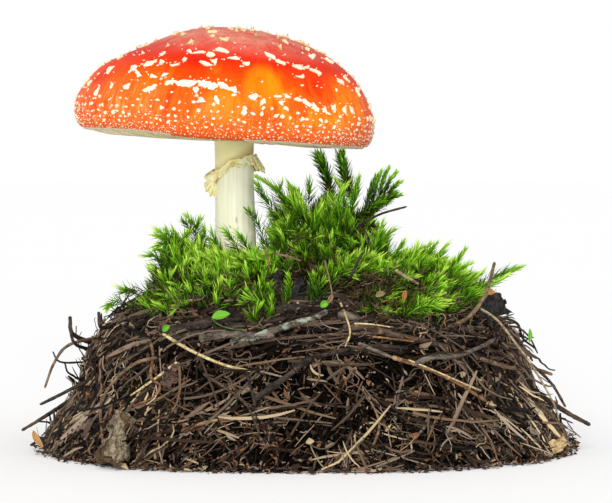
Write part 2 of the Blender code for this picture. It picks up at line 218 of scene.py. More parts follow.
class Finish:
    """One procedural material, built up on a Principled shader."""

    def __init__(self, name, **constants):
        self.material = bpy.data.materials.new(name)
        self.material.use_nodes = True
        self.tree = self.material.node_tree
        self.shader = self.tree.nodes["Principled BSDF"]
        for socket, value in constants.items():
            self.feed(self.shader.inputs[socket.replace("_", " ")], value)

    def feed(self, socket, value):
        if isinstance(value, Signal):
            self.tree.links.new(value.socket, socket)
        elif socket.type == "RGBA":
            socket.default_value = (*value[:3], 1)
        else:
            socket.default_value = value

    def node(self, kind, settings=None, sockets=None, output=0):
        """Adds a node: its settings first, then the values or links of its sockets."""
        made = self.tree.nodes.new("ShaderNode" + kind)
        for key, value in (settings or {}).items():
            if key == "stops":
                self.set_stops(made.color_ramp.elements, value)
            else:
                setattr(made, key, value)
        for key, value in (sockets or {}).items():
            self.feed(made.inputs[key], value)
        return Signal(self, made.outputs[output])

    @staticmethod
    def set_stops(elements, stops):
        while len(elements) < len(stops):
            elements.new(0.5)
        for element, (place, colour) in zip(elements, stops):
            element.position = place
            element.color = (*colour, 1)

    def place(self, scale=(1, 1, 1), location=(0, 0, 0), rotation=(0, 0, 0), kind="POINT"):
        """The surface's own place in space, stretched, moved or turned."""
        here = self.node("TexCoord", output="Object")
        if (*scale, *location, *rotation) == (1, 1, 1, 0, 0, 0, 0, 0, 0):
            return here
        sockets = {"Vector": here, "Location": location, "Rotation": rotation, "Scale": scale}
        return self.node("Mapping", {"vector_type": kind}, sockets)

    def palette(self):
        """Across and along on the piece's own map: which tint a leaf or strand has, and how far along it."""
        here = self.node("UVMap", {"uv_map": PALETTE_MAP})
        parts = self.node("SeparateXYZ", None, {"Vector": here})
        return parts, parts.other("Y")

    def noise(self, where, scale, detail=3, roughness=0.55, distortion=0.0):
        sockets = {"Vector": where, "Scale": scale, "Detail": detail}
        sockets |= {"Roughness": roughness, "Distortion": distortion}
        return self.node("TexNoise", None, sockets)

    def cells(self, where, scale, feature="F1"):
        return self.node("TexVoronoi", {"feature": feature}, {"Vector": where, "Scale": scale})

    def blend(self, share, below, above):
        """The first colour where the share is 0 and the second where it is 1."""
        return self.node("Mix", {"data_type": "RGBA"}, {0: share, 6: below, 7: above}, output=2)

    def colour(self, value):
        self.feed(self.shader.inputs["Base Color"], value)

    def roughness(self, value):
        self.feed(self.shader.inputs["Roughness"], value)

    def bump(self, height, distance, strength=1.0):
        sockets = {"Height": height, "Distance": distance, "Strength": strength}
        self.feed(self.shader.inputs["Normal"], self.node("Bump", None, sockets))


def cap_skin_finish(settings):
    """Wet red skin that turns orange lower down, with fine fibres running from crown to rim."""
    skin = Finish("cap_skin", IOR=1.4, Specular_IOR_Level=0.08)
    here = skin.place(location=CAP_PLACE, rotation=CAP_TILT, kind="TEXTURE")
    x = skin.node("SeparateXYZ", None, {"Vector": here})
    y, z = x.other("Y"), x.other("Z")
    reach = (x * x + y * y + 1e-7) ** 0.5
    high = z / (0.738 * settings.cap_radius)
    # Fibres: the direction from the axis is followed finely and the height coarsely.
    fibre_place = skin.node("CombineXYZ", None, {"X": x / reach * 58, "Y": y / reach * 58, "Z": z * 150})
    fibres = skin.noise(fibre_place, 1.0, 4, 0.62)
    broad = {"X": x / reach * 4.2 + 3.1, "Y": y / reach * 4.2, "Z": z * 40}
    patch_place = skin.node("CombineXYZ", None, broad)
    patches = skin.noise(patch_place, 1.0, 3, 0.5, 0.6)
    # The left side has faded to salmon, and the rest is deeper and more golden.
    rich = (x / reach).rise(-0.80, 0.0)
    clouds = skin.noise(here, 40, 3, 0.55)
    lower = 1 - high.rise(0.46, 0.84)
    colour = skin.blend(lower * clouds.rise(0.30, 0.62), settings.cap_red, (0.80, 0.045, 0.001))
    orange = (1 - high.rise(0.40, 0.66)) * (patches + 0.08 * rich).rise(0.40, 0.52)
    colour = skin.blend(orange, colour, settings.cap_orange)
    gold = (1 - high.rise(0.42, 0.66)) * high.rise(0.06, 0.2) * rich * patches.rise(0.50, 0.60)
    front = 1 - y.rise(-0.02, 0.0)
    for across, up, wide, tall in ((0.6, 11.6, 9.5, 9.0), (13.6, 20.0, 7.5, 11.0), (46.0, 12.0, 7.0, 9.0)):
        side_off, up_off = (x - across * MM) / (wide * MM), (z - up * MM) / (tall * MM)
        spot = 1 - (side_off * side_off + up_off * up_off + (fibres - 0.5) * 0.9).rise(0.25, 1.0)
        gold = gold + spot * front * (0.35 + 0.5 * clouds.rise(0.3, 0.6))
    colour = skin.blend(gold * 0.85, colour, (0.93, 0.225, 0.001))
    # Salmon skin where the colour has washed out, streaked with pale threads.
    washed = (1 - high.rise(0.24, 0.54)) * (1 - 0.75 * rich) * clouds.rise(0.25, 0.55)
    colour = skin.blend(washed * 0.5, colour, (0.86, 0.17, 0.035))
    threads = fibres.rise(0.48, 0.66) * (washed * 0.55 + (1 - high.rise(0.0, 0.42)) * 0.24)
    colour = skin.blend(threads, colour, (0.92, 0.40, 0.11))
    colour = skin.blend((1 - fibres.rise(0.28, 0.48)) * 0.4, colour, (0.62, 0.020, 0.001))
    # Painted sheen: the crown is lightened to a pale pink in mottled patches, standing in for the bright
    # surroundings reflected at a grazing angle.
    mottles = skin.noise(here, 150, 4, 0.7, 0.8)
    crown = high.rise(0.66, 0.90) * (clouds.rise(0.30, 0.50) * 0.6 + mottles.rise(0.40, 0.60) * 0.6)
    colour = skin.blend(crown * 0.80, colour, (0.68, 0.24, 0.16))
    # Small stains and the last grains of veil.
    freckles = skin.noise(here, 620, 4, 0.7)
    colour = skin.blend((1 - freckles.rise(0.30, 0.44)) * 0.5, colour, (0.50, 0.010, 0.001))
    rim = 1 - high.rise(0.06, 0.24)
    colour = skin.blend(rim * 0.5, colour, (0.80, 0.11, 0.012))
    grains = 1 - skin.cells(here, 820).rise(0.14, 0.30)
    colour = skin.blend(grains * (rim + 0.15 * washed) * 0.55, colour, (0.90, 0.58, 0.32))
    skin.colour(colour)
    skin.roughness(0.30 + 0.18 * fibres + 0.25 * rim)
    skin.bump(fibres * 0.7 + grains * rim + clouds * 0.5 + freckles * 0.4 + mottles * 0.6, 0.34 * MM, 0.6)
    return skin.material


def flesh_finish(name, base, darker, scale):
    """Dull pale flesh with soft stains and fine grain along its height."""
    flesh = Finish(name)
    along = flesh.place(scale=(1, 1, 0.16))
    grain = flesh.noise(along, scale, 5, 0.65)
    stains = flesh.noise(flesh.place(), scale * 0.08, 3, 0.5)
    colour = flesh.blend(grain.rise(0.3, 0.75), darker, base)
    colour = flesh.blend(stains.rise(0.52, 0.75) * 0.5, colour, [0.8 * c for c in darker])
    flesh.colour(colour)
    flesh.roughness(0.62 + 0.2 * grain)
    flesh.bump(grain, 0.35 * MM, 0.6)
    return flesh.material


def stem_finish():
    """Smooth yellowish flesh above the ring, and chalky white fibres below it."""
    stem = Finish("stem_flesh")
    here = stem.place()
    x = stem.node("SeparateXYZ", None, {"Vector": here})
    z = x.other("Z")
    ring_line = z - 0.1125 - (x + 0.0275) * 0.62
    above = ring_line.rise(-0.0006, 0.0006)
    fibres = stem.noise(stem.place(scale=(1, 1, 0.06)), 900, 4, 0.65)
    broad = stem.noise(stem.place(scale=(1, 1, 0.3)), 120, 3, 0.55)
    below = stem.blend(fibres.rise(0.3, 0.7), (0.84, 0.83, 0.58), (0.94, 0.94, 0.75))
    below = stem.blend(broad.rise(0.5, 0.75) * 0.5, below, (0.86, 0.82, 0.52))
    foot = 1 - z.rise(0.062, 0.088)
    below = stem.blend(foot * broad.rise(0.35, 0.6) * 0.7, below, (0.56, 0.47, 0.28))
    smooth = stem.blend(broad.rise(0.3, 0.7), (0.93, 0.84, 0.38), (0.98, 0.91, 0.48))
    stain = above * (1 - ring_line.rise(0.0003, 0.0055))
    smooth = stem.blend(stain * 0.75, smooth, (0.56, 0.36, 0.11))
    stem.colour(stem.blend(above, below, smooth))
    stem.roughness(0.75 - 0.15 * above)
    stem.bump(fibres * (1 - 0.8 * above) + 0.5 * broad, 0.3 * MM, 0.7)
    return stem.material


def veil_finish():
    """The ring's cream skin, ochre in its folds and brown at torn places."""
    veil = Finish("veil")
    here = veil.place()
    folds = veil.noise(here, 260, 4, 0.6)
    stains = veil.noise(here, 900, 3, 0.6)
    colour = folds.ramp(
        (0.30, (0.62, 0.42, 0.10)),
        (0.40, (0.86, 0.72, 0.26)),
        (0.50, (0.94, 0.87, 0.46)),
        (0.70, (0.96, 0.93, 0.66)),
    )
    colour = veil.blend(stains.rise(0.60, 0.78) * 0.6, colour, (0.42, 0.25, 0.08))
    veil.colour(colour)
    veil.roughness(0.55 + 0.3 * stains)
    veil.bump(folds + 0.4 * stains, 0.3 * MM, 0.6)
    return veil.material


def wart_finish():
    """Crusts of veil: white to cream, tan at their foot, partly their own tan and partly painted shade on
    their lower sides. The map gives the whiteness and the height.
    """
    crust = Finish("wart_crust", Roughness=0.8, Specular_IOR_Level=0.2)
    white, height = crust.palette()
    top = crust.blend(white, (0.70, 0.56, 0.29), (0.83, 0.76, 0.60))
    # Painted shade in part: each crust's lower sides are tan-brown, partly its own tan and partly shade.
    foot = crust.blend(white, (0.34, 0.17, 0.05), (0.74, 0.42, 0.20))
    crust.colour(crust.blend(height.rise(0.1, 0.8), foot, top))
    return crust.material


def moss_finish():
    """Leaves from dead olive to bright yellow-green. The map gives a leaf's freshness with painted shade in
    it, and how far along it.
    """
    moss = Finish("moss_leaf", Roughness=0.5, Specular_IOR_Level=0.16)
    fresh, along = moss.palette()
    body = fresh.ramp(
        (0.0, (0.050, 0.032, 0.012)),
        (0.15, (0.060, 0.056, 0.010)),
        (0.30, (0.006, 0.018, 0.001)),
        (0.50, (0.022, 0.072, 0.002)),
        (0.72, (0.074, 0.235, 0.003)),
        (1.0, (0.200, 0.450, 0.012)),
    )
    tip = fresh.ramp(
        (0.0, (0.150, 0.095, 0.040)),
        (0.15, (0.220, 0.180, 0.050)),
        (0.30, (0.040, 0.090, 0.006)),
        (0.50, (0.095, 0.280, 0.006)),
        (0.72, (0.280, 0.650, 0.014)),
        (1.0, (0.680, 0.920, 0.120)),
    )
    # Painted shade: each leaf fades towards black at its base, deep among the others. Its tip is brighter,
    # partly as paler new growth and partly as a painted highlight.
    shaded = moss.blend(along.rise(0.0, 0.35) * 0.7 + 0.3, (0.0, 0.0, 0.0), body)
    moss.colour(moss.blend(along.rise(0.35, 1.0), shaded, tip))
    return moss.material


def strand_finish(name):
    """Needles and rootlets from nearly black to tan. The map gives each one's tint, with painted shade in it
    on the heap, and how far along it.
    """
    strand = Finish(name, Roughness=0.55, Specular_IOR_Level=0.14)
    tint, along = strand.palette()
    colour = tint.ramp(
        (0.0, (0.002, 0.0015, 0.001)),
        (0.28, (0.010, 0.006, 0.004)),
        (0.46, (0.045, 0.025, 0.015)),
        (0.60, (0.118, 0.088, 0.062)),
        (0.72, (0.185, 0.108, 0.062)),
        (0.82, (0.330, 0.260, 0.190)),
        (0.93, (0.480, 0.370, 0.230)),
        (1.0, (0.640, 0.500, 0.280)),
    )
    scuffs = (along * 31 + tint * 700).maths("SINE").rise(0.35, 0.95)
    strand.colour(strand.blend(scuffs * 0.30 * tint.rise(0.30, 0.62), colour, (0.30, 0.22, 0.15)))
    return strand.material


def bark_finish(name, dark, light, patch=None, patch_share=0.0, scale=420, grain=(0.35, 1, 1)):
    """Weathered bark or wood: streaks along the piece, dark cracks, and patches of another tint."""
    bark = Finish(name, Specular_IOR_Level=0.18)
    here = bark.place()
    streaks = bark.noise(bark.place(scale=grain), scale, 5, 0.68)
    cracks = bark.noise(bark.place(scale=grain), scale * 1.9, 4, 0.7, 1.2)
    colour = bark.blend(streaks.rise(0.3, 0.72), dark, light)
    colour = bark.blend((1 - cracks.rise(0.36, 0.46)) * 0.75, colour, [0.4 * c for c in dark])
    if patch:
        spots = bark.noise(here, scale * 0.45, 4, 0.6)
        colour = bark.blend(spots.rise(0.62 - patch_share, 0.72 - patch_share), colour, patch)
    bark.colour(colour)
    bark.roughness(0.7 + 0.2 * streaks)
    bark.bump(streaks + cracks.rise(0.36, 0.48), 0.4 * MM, 0.8)
    return bark.material


def core_finish():
    """The heap's packed inside: dark crumbs, made almost black as painted shade in the gaps between the
    strands.
    """
    core = Finish("litter_core", Specular_IOR_Level=0.05)
    here = core.place()
    crumbs = core.cells(here, 520)
    soil = core.noise(here, 300, 5, 0.65)
    # Painted shade: the core is nearly black so that the gaps between the strands read dark.
    black, dark, brown = (0.001, 0.001, 0.001), (0.004, 0.003, 0.002), (0.030, 0.016, 0.009)
    colour = soil.ramp((0.3, black), (0.55, dark), (0.75, brown))
    core.colour(core.blend(crumbs.rise(0.1, 0.5) * 0.6, colour, dark))
    core.roughness(0.85 + 0.1 * soil)
    core.bump(crumbs + soil, 1.2 * MM, 1.0)
    return core.material


def leaf_finish(name, blade, vein):
    """A thin leaf blade with a paler net of veins."""
    leaf = Finish(name)
    here = leaf.place()
    net = leaf.cells(here, 1400, "DISTANCE_TO_EDGE")
    clouds = leaf.noise(here, 300, 3, 0.6)
    colour = leaf.blend(clouds.rise(0.3, 0.7), [0.82 * c for c in blade], blade)
    leaf.colour(leaf.blend((1 - net.rise(0.0, 0.1)) * 0.35, colour, vein))
    leaf.roughness(0.4 + 0.2 * clouds)
    leaf.bump(net.rise(0.0, 0.2), 0.15 * MM, 0.5)
    return leaf.material


# ---------------------------------------------------------------- modelling by hand


def deselect():
    if bpy.context.mode != "OBJECT":
        bpy.ops.object.mode_set(mode="OBJECT")
    bpy.ops.object.select_all(action="DESELECT")


def select_only(piece):
    deselect()
    piece.select_set(True)
    bpy.context.view_layer.objects.active = piece


def extrude(shift):
    bpy.ops.mesh.extrude_region_move(TRANSFORM_OT_translate={"value": shift})


def close_edit(weld=False):
    """Turns every face outwards and leaves edit mode, with points in one place made one first if asked."""
    bpy.ops.mesh.select_all(action="SELECT")
    if weld:
        bpy.ops.mesh.remove_doubles(threshold=1e-6)
    bpy.ops.mesh.normals_make_consistent(inside=False)
    bpy.ops.object.mode_set(mode="OBJECT")


def turned(name, outline, steps):
    """Spins an outline of (radius, height) points round the upright axis."""
    deselect()
    radius, height = outline[0]
    bpy.ops.mesh.primitive_circle_add(vertices=3, radius=MM, location=(radius, 0, height), enter_editmode=True)
    bpy.ops.mesh.merge(type="CENTER")
    for before, after in zip(outline, outline[1:]):
        extrude((after[0] - before[0], 0, after[1] - before[1]))
    bpy.ops.mesh.select_all(action="SELECT")
    bpy.ops.mesh.spin(steps=steps, angle=math.tau, center=(0, 0, 0), axis=(0, 0, 1))
    close_edit(weld=True)
    made = bpy.context.object
    made.name = name
    settle(made)
    return made


def settle(piece):
    """Puts a piece's place into its mesh."""
    piece.data.transform(piece.matrix_world)
    piece.matrix_world = Matrix.Identity(4)


def points_of(piece):
    flat = np.empty(len(piece.data.vertices) * 3, np.float32)
    piece.data.vertices.foreach_get("co", flat)
    return flat.reshape(-1, 3).astype(float)


def move_points(piece, points):
    piece.data.vertices.foreach_set("co", points.astype(np.float32).ravel())
    piece.data.update()


def apply_modifiers(piece):
    select_only(piece)
    for modifier in list(piece.modifiers):
        bpy.ops.object.modifier_apply(modifier=modifier.name)


def thicken(piece, thickness, offset=-1):
    """Makes a sheet solid: below its face, or on both sides of it with an offset of 0."""
    skin = piece.modifiers.new("skin", "SOLIDIFY")
    skin.thickness = thickness
    skin.offset = offset
    apply_modifiers(piece)


def lay_down(piece, seat, out, turn):
    """Turns a flat piece in its own plane, faces it outwards and moves it to its seat in millimetres."""
    spin = Matrix.Rotation(math.radians(turn), 4, "Z")
    lie = Vector(out).normalized().to_track_quat("Z", "Y").to_matrix().to_4x4()
    piece.data.transform(Matrix.Translation(Vector(seat) * MM) @ lie @ spin)


def finished(piece, name, material, slot, nodes=(), smooth_angle=60):
    """Names a piece, gives it its finish and tells the frame what it rides on and stands for."""
    piece.name = name
    piece.data.name = name
    if material is not None:
        piece.data.materials.clear()
        piece.data.materials.append(material)
    select_only(piece)
    bpy.ops.object.shade_smooth_by_angle(angle=math.radians(smooth_angle))
    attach(piece, BODY)
    if nodes:
        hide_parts(*nodes)


def stalk_shape(corners, rings, pointed, flatness=1.0):
    """A small closed stalk along +Z, one unit long, as (points, faces). Rings are (height, width)."""
    deselect()
    width = rings[0][1]
    bpy.ops.mesh.primitive_circle_add(vertices=corners, radius=1, fill_type="NGON", enter_editmode=True)
    bpy.ops.transform.resize(value=(width, width, 1))
    for (low, before), (high, after) in zip(rings, rings[1:]):
        extrude((0, 0, high - low))
        if after:
            bpy.ops.transform.resize(value=(after / before, after / before, 1))
    if pointed:
        bpy.ops.mesh.merge(type="CENTER")
    close_edit()
    shape = shape_of(bpy.context.object)
    shape[0][:, 1] *= flatness
    return shape


def shape_of(piece):
    """Takes a modelled piece away and keeps its points and faces, to be copied."""
    settle(piece)
    points = points_of(piece)
    faces = [tuple(face.vertices) for face in piece.data.polygons]
    mesh = piece.data
    bpy.data.objects.remove(piece)
    bpy.data.meshes.remove(mesh)
    return points, faces


def mesh_of_copies(name, points, faces, palette):
    """One mesh from many copies of a shape, given the place and the palette pair of each copy's points."""
    copies, count = points.shape[:2]
    corners = np.concatenate([np.array(face) for face in faces])
    sizes = np.array([len(face) for face in faces])
    starts = np.concatenate([[0], np.cumsum(sizes)[:-1]])
    offsets = np.arange(copies)[:, None]
    mesh = bpy.data.meshes.new(name)
    mesh.vertices.add(copies * count)
    mesh.vertices.foreach_set("co", points.astype(np.float32).ravel())
    mesh.loops.add(copies * len(corners))
    mesh.loops.foreach_set("vertex_index", (corners[None] + offsets * count).ravel().astype(np.int32))
    mesh.polygons.add(copies * len(sizes))
    mesh.polygons.foreach_set("loop_start", (starts[None] + offsets * len(corners)).ravel().astype(np.int32))
    mesh.update(calc_edges=True)
    layer = mesh.uv_layers.new(name=PALETTE_MAP)
    layer.data.foreach_set("uv", np.clip(palette[:, corners], 0.002, 0.998).astype(np.float32).ravel())
    piece = bpy.data.objects.new(name, mesh)
    bpy.context.scene.collection.objects.link(piece)
    return piece


def tapering(widths):
    """The rings of a stalk, evenly spaced, as share of the way along and width."""
    return [(k / (len(widths) - 1), width) for k, width in enumerate(widths)]


def palette_of(across, along):
    """The map's two values at each point of each copy."""
    return np.stack(np.broadcast_arrays(across, along), axis=-1)


def unit(vectors):
    return vectors / np.maximum(np.linalg.norm(vectors, axis=-1, keepdims=True), 1e-12)


def bell(value, middle, width):
    """A smooth bump: 1 at its middle and nearly 0 two widths away."""
    return np.exp(-(((value - middle) / width) ** 2))


def crumpled(points, scale, octaves, falloff=1.0):
    """Unevenness with finer detail in it at each point, the same at every run."""
    return np.array([noise.fractal(Vector(p * scale), falloff, 2.0, octaves) for p in points])


def smooth_route(points, count):
    """Points spread along a smooth curve through the given ones, by Catmull-Rom spans."""
    given = np.array(points, float)
    held = np.vstack([2 * given[0] - given[1], given, 2 * given[-1] - given[-2]])
    spans = len(given) - 1
    along = np.linspace(0, spans, count)
    index = np.minimum(along.astype(int), spans - 1)
    t = (along - index)[:, None]
    a, b, c, d = (held[index + k] for k in range(4))
    bend = 2 * a - 5 * b + 4 * c - d
    twist = 3 * b - a - 3 * c + d
    return 0.5 * (2 * b + (c - a) * t + bend * t * t + twist * t**3)


# ---------------------------------------------------------------- the cap


class CapSkin:
    """The cap's outer surface: where a turn round the axis and a share of the way from crown to rim lie."""

    def __init__(self, radius):
        self.side = smooth_route([(r * radius, z * radius) for r, z in CAP_SIDE], 241)
        steps = np.linalg.norm(np.diff(self.side, axis=0), axis=1)
        arc = np.concatenate([[0], np.cumsum(steps)])
        self.arc = arc[-1]
        self.shares = arc / self.arc
        along = unit(np.gradient(self.side, axis=0))
        self.out = np.stack([-along[:, 1], along[:, 0]], axis=1)
        self.frame = np.array(Matrix.Translation(CAP_PLACE) @ CAP_TILT.to_matrix().to_4x4())

    def swell(self, turn, share):
        """Slow unevenness of the skin."""
        lobes = 0.42 * np.sin(3 * turn + 0.8) + 0.28 * np.sin(5 * turn + 2.2)
        lobes = lobes + 0.12 * np.sin(11 * turn + share * 5)
        ripple = 0.16 * np.sin(7 * turn + 9 * share) + 0.12 * np.sin(17 * share + 2 * turn)
        # The left shoulder slopes more than the right one.
        left = np.clip(-np.sin(turn), 0, 1) ** 1.5 * bell(share, 0.46, 0.2)
        right = np.clip(np.sin(turn), 0, 1) ** 1.5 * bell(share, 0.9, 0.16)
        rim = np.clip(-np.sin(turn), 0, 1) ** 1.5 * bell(share, 0.97, 0.1)
        lobes = lobes * 0.6 - 0.5 * rim
        return (lobes * share**2 + ripple * share - 3.2 * left - 1.2 * right) * MM

    def at(self, turn, share, lift=0.0):
        """Points on the skin, or lifted off it, in the object's frame. A turn of 0 faces the front."""
        radius, height = (np.interp(share, self.shares, self.side[:, k]) for k in (0, 1))
        out_r, out_z = (np.interp(share, self.shares, self.out[:, k]) for k in (0, 1))
        lift = lift + self.swell(turn, share)
        radius = radius + out_r * lift
        height = height + out_z * lift
        x, y = radius * np.sin(turn), -radius * np.cos(turn)
        local = np.stack([x, y, height, np.ones_like(height)], axis=-1)
        return (local @ self.frame.T)[..., :3]

    def bent(self, turn, share, across, down, lift):
        """Offsets from a seat, bent onto the skin: flat over it near the crown and round it lower down."""
        radius = np.interp(share, self.shares, self.side[:, 0])
        flat_x = radius * np.sin(turn) + across * np.cos(turn) + down * np.sin(turn)
        flat_y = -radius * np.cos(turn) + across * np.sin(turn) - down * np.cos(turn)
        upper = self.side[:, 0] < self.side[:, 0].max() * 0.93
        upper[np.argmax(self.side[:, 0]) :] = False
        flat_share = np.interp(np.hypot(flat_x, flat_y), self.side[upper, 0], self.shares[upper])
        near_crown = share < 0.4
        new_turn = np.where(near_crown, np.arctan2(flat_x, -flat_y), turn + across / np.maximum(radius, MM))
        new_share = np.where(near_crown, flat_share, share + down / self.arc)
        return self.at(new_turn, np.clip(new_share, 0, 1), lift)


def build_cap(settings):
    """The cap's solid: skin outside, pale flesh below, and the gills hung from its roof."""
    radius = settings.cap_radius
    skin = CapSkin(radius)
    shares = np.linspace(0, 1, 76)
    side = [tuple(np.interp(s, skin.shares, skin.side[:, k]) for k in (0, 1)) for s in shares]
    side[0] = (0.0, side[0][1])
    cap = turned("cap_body", side + [(r * radius, z * radius) for r, z in CAP_UNDERSIDE], 224)
    points = points_of(cap)
    turn, reach = np.arctan2(points[:, 0], -points[:, 1]), np.hypot(points[:, 0], points[:, 1])
    gap = np.abs(reach[:, None] - skin.side[None, :, 0]) + np.abs(points[:, 2, None] - skin.side[None, :, 1])
    share = skin.shares[np.argmin(gap, axis=1)]
    on_skin = gap.min(axis=1) < 0.4 * MM
    moved = (np.c_[points, np.ones(len(points))] @ skin.frame.T)[:, :3]
    moved[on_skin] = skin.at(turn[on_skin], share[on_skin])
    move_points(cap, moved)
    cap.data.materials.append(cap_skin_finish(settings))
    cap.data.materials.append(flesh_finish("gill_flesh", settings.flesh, (0.66, 0.55, 0.34), 700))
    lip = 0.003 * radius
    centres = np.array([face.center for face in cap.data.polygons])
    local = np.c_[centres, np.ones(len(centres))] @ np.linalg.inv(skin.frame).T
    inner = np.hypot(local[:, 0], local[:, 1]) < 0.93 * radius
    low = local[:, 2] < 0.15 * radius + lip
    cap.data.polygons.foreach_set("material_index", (inner & low).astype(np.int32))
    finished(cap, "cap_body", None, "cap_skin", ["cap"])
    build_gills(settings, skin)


def build_gills(settings, skin):
    """One gill blade modelled once and copied round the axis, every second one shorter."""
    deselect()
    bpy.ops.mesh.primitive_grid_add(x_subdivisions=11, y_subdivisions=3, size=1)
    blade = bpy.context.object
    thicken(blade, 0.02)
    shape, faces = shape_of(blade)
    along = shape[:, 0] + 0.5
    depth = 0.5 - shape[:, 1]
    thick = shape[:, 2] * 50
    rng = np.random.default_rng(5)
    count = settings.gill_count * 2
    number = np.arange(count)
    start = np.where(number % 2, rng.uniform(26, 38, count), 11.6)[:, None] * MM
    end = 0.905 * settings.cap_radius
    radius = start + (end - start) * along[None]
    roof = np.interp(radius, *(np.array(GILL_ROOF).T * settings.cap_radius))
    inner_rise = np.clip((start + 5 * MM - radius) / (5 * MM), 0, 1) ** 2
    turn = math.tau * (number + rng.uniform(-0.12, 0.12, count)) / count
    # They hang a little below the rim, most on the raised left side.
    hang = (1.25 - 0.75 * np.cos(turn) + rng.normal(0, 0.08, count))[:, None]
    edge = (0.3 - hang * np.sin(along * math.pi)[None] ** 0.6) * MM + inner_rise * 5 * MM
    height = roof + 0.4 * MM + (np.minimum(edge, roof) - roof - 0.4 * MM) * depth[None]
    wave = turn[:, None] + 0.010 * np.sin(along[None] * 7 + number[:, None]) * depth[None]
    sideways = thick[None] * (0.26 - 0.12 * depth[None]) * MM
    x = radius * np.cos(wave) - sideways * np.sin(wave)
    y = radius * np.sin(wave) + sideways * np.cos(wave)
    inwards = np.clip((end - radius) / end, 0, 1)
    x = x + (STEM_X - CAP_PLACE.x) * inwards
    local = np.stack([x, y, height, np.ones_like(x)], axis=-1)
    points = (local @ skin.frame.T)[..., :3]
    palette = palette_of(rng.random((count, 1)) * 0.98 + 0.004 * thick, depth[None])
    gills = mesh_of_copies("gills", points, faces, palette)
    blade_finish = Finish("gill_blade", Roughness=0.6)
    shade, down = blade_finish.palette()
    pale = blade_finish.blend(shade, (0.90, 0.80, 0.46), (0.99, 0.94, 0.66))
    edges = down.rise(0.80, 1.0) * shade.rise(0.5, 0.8) * 0.55
    blade_finish.colour(blade_finish.blend(edges, pale, (0.42, 0.24, 0.09)))
    finished(gills, "gills", blade_finish.material, "stem_flesh")
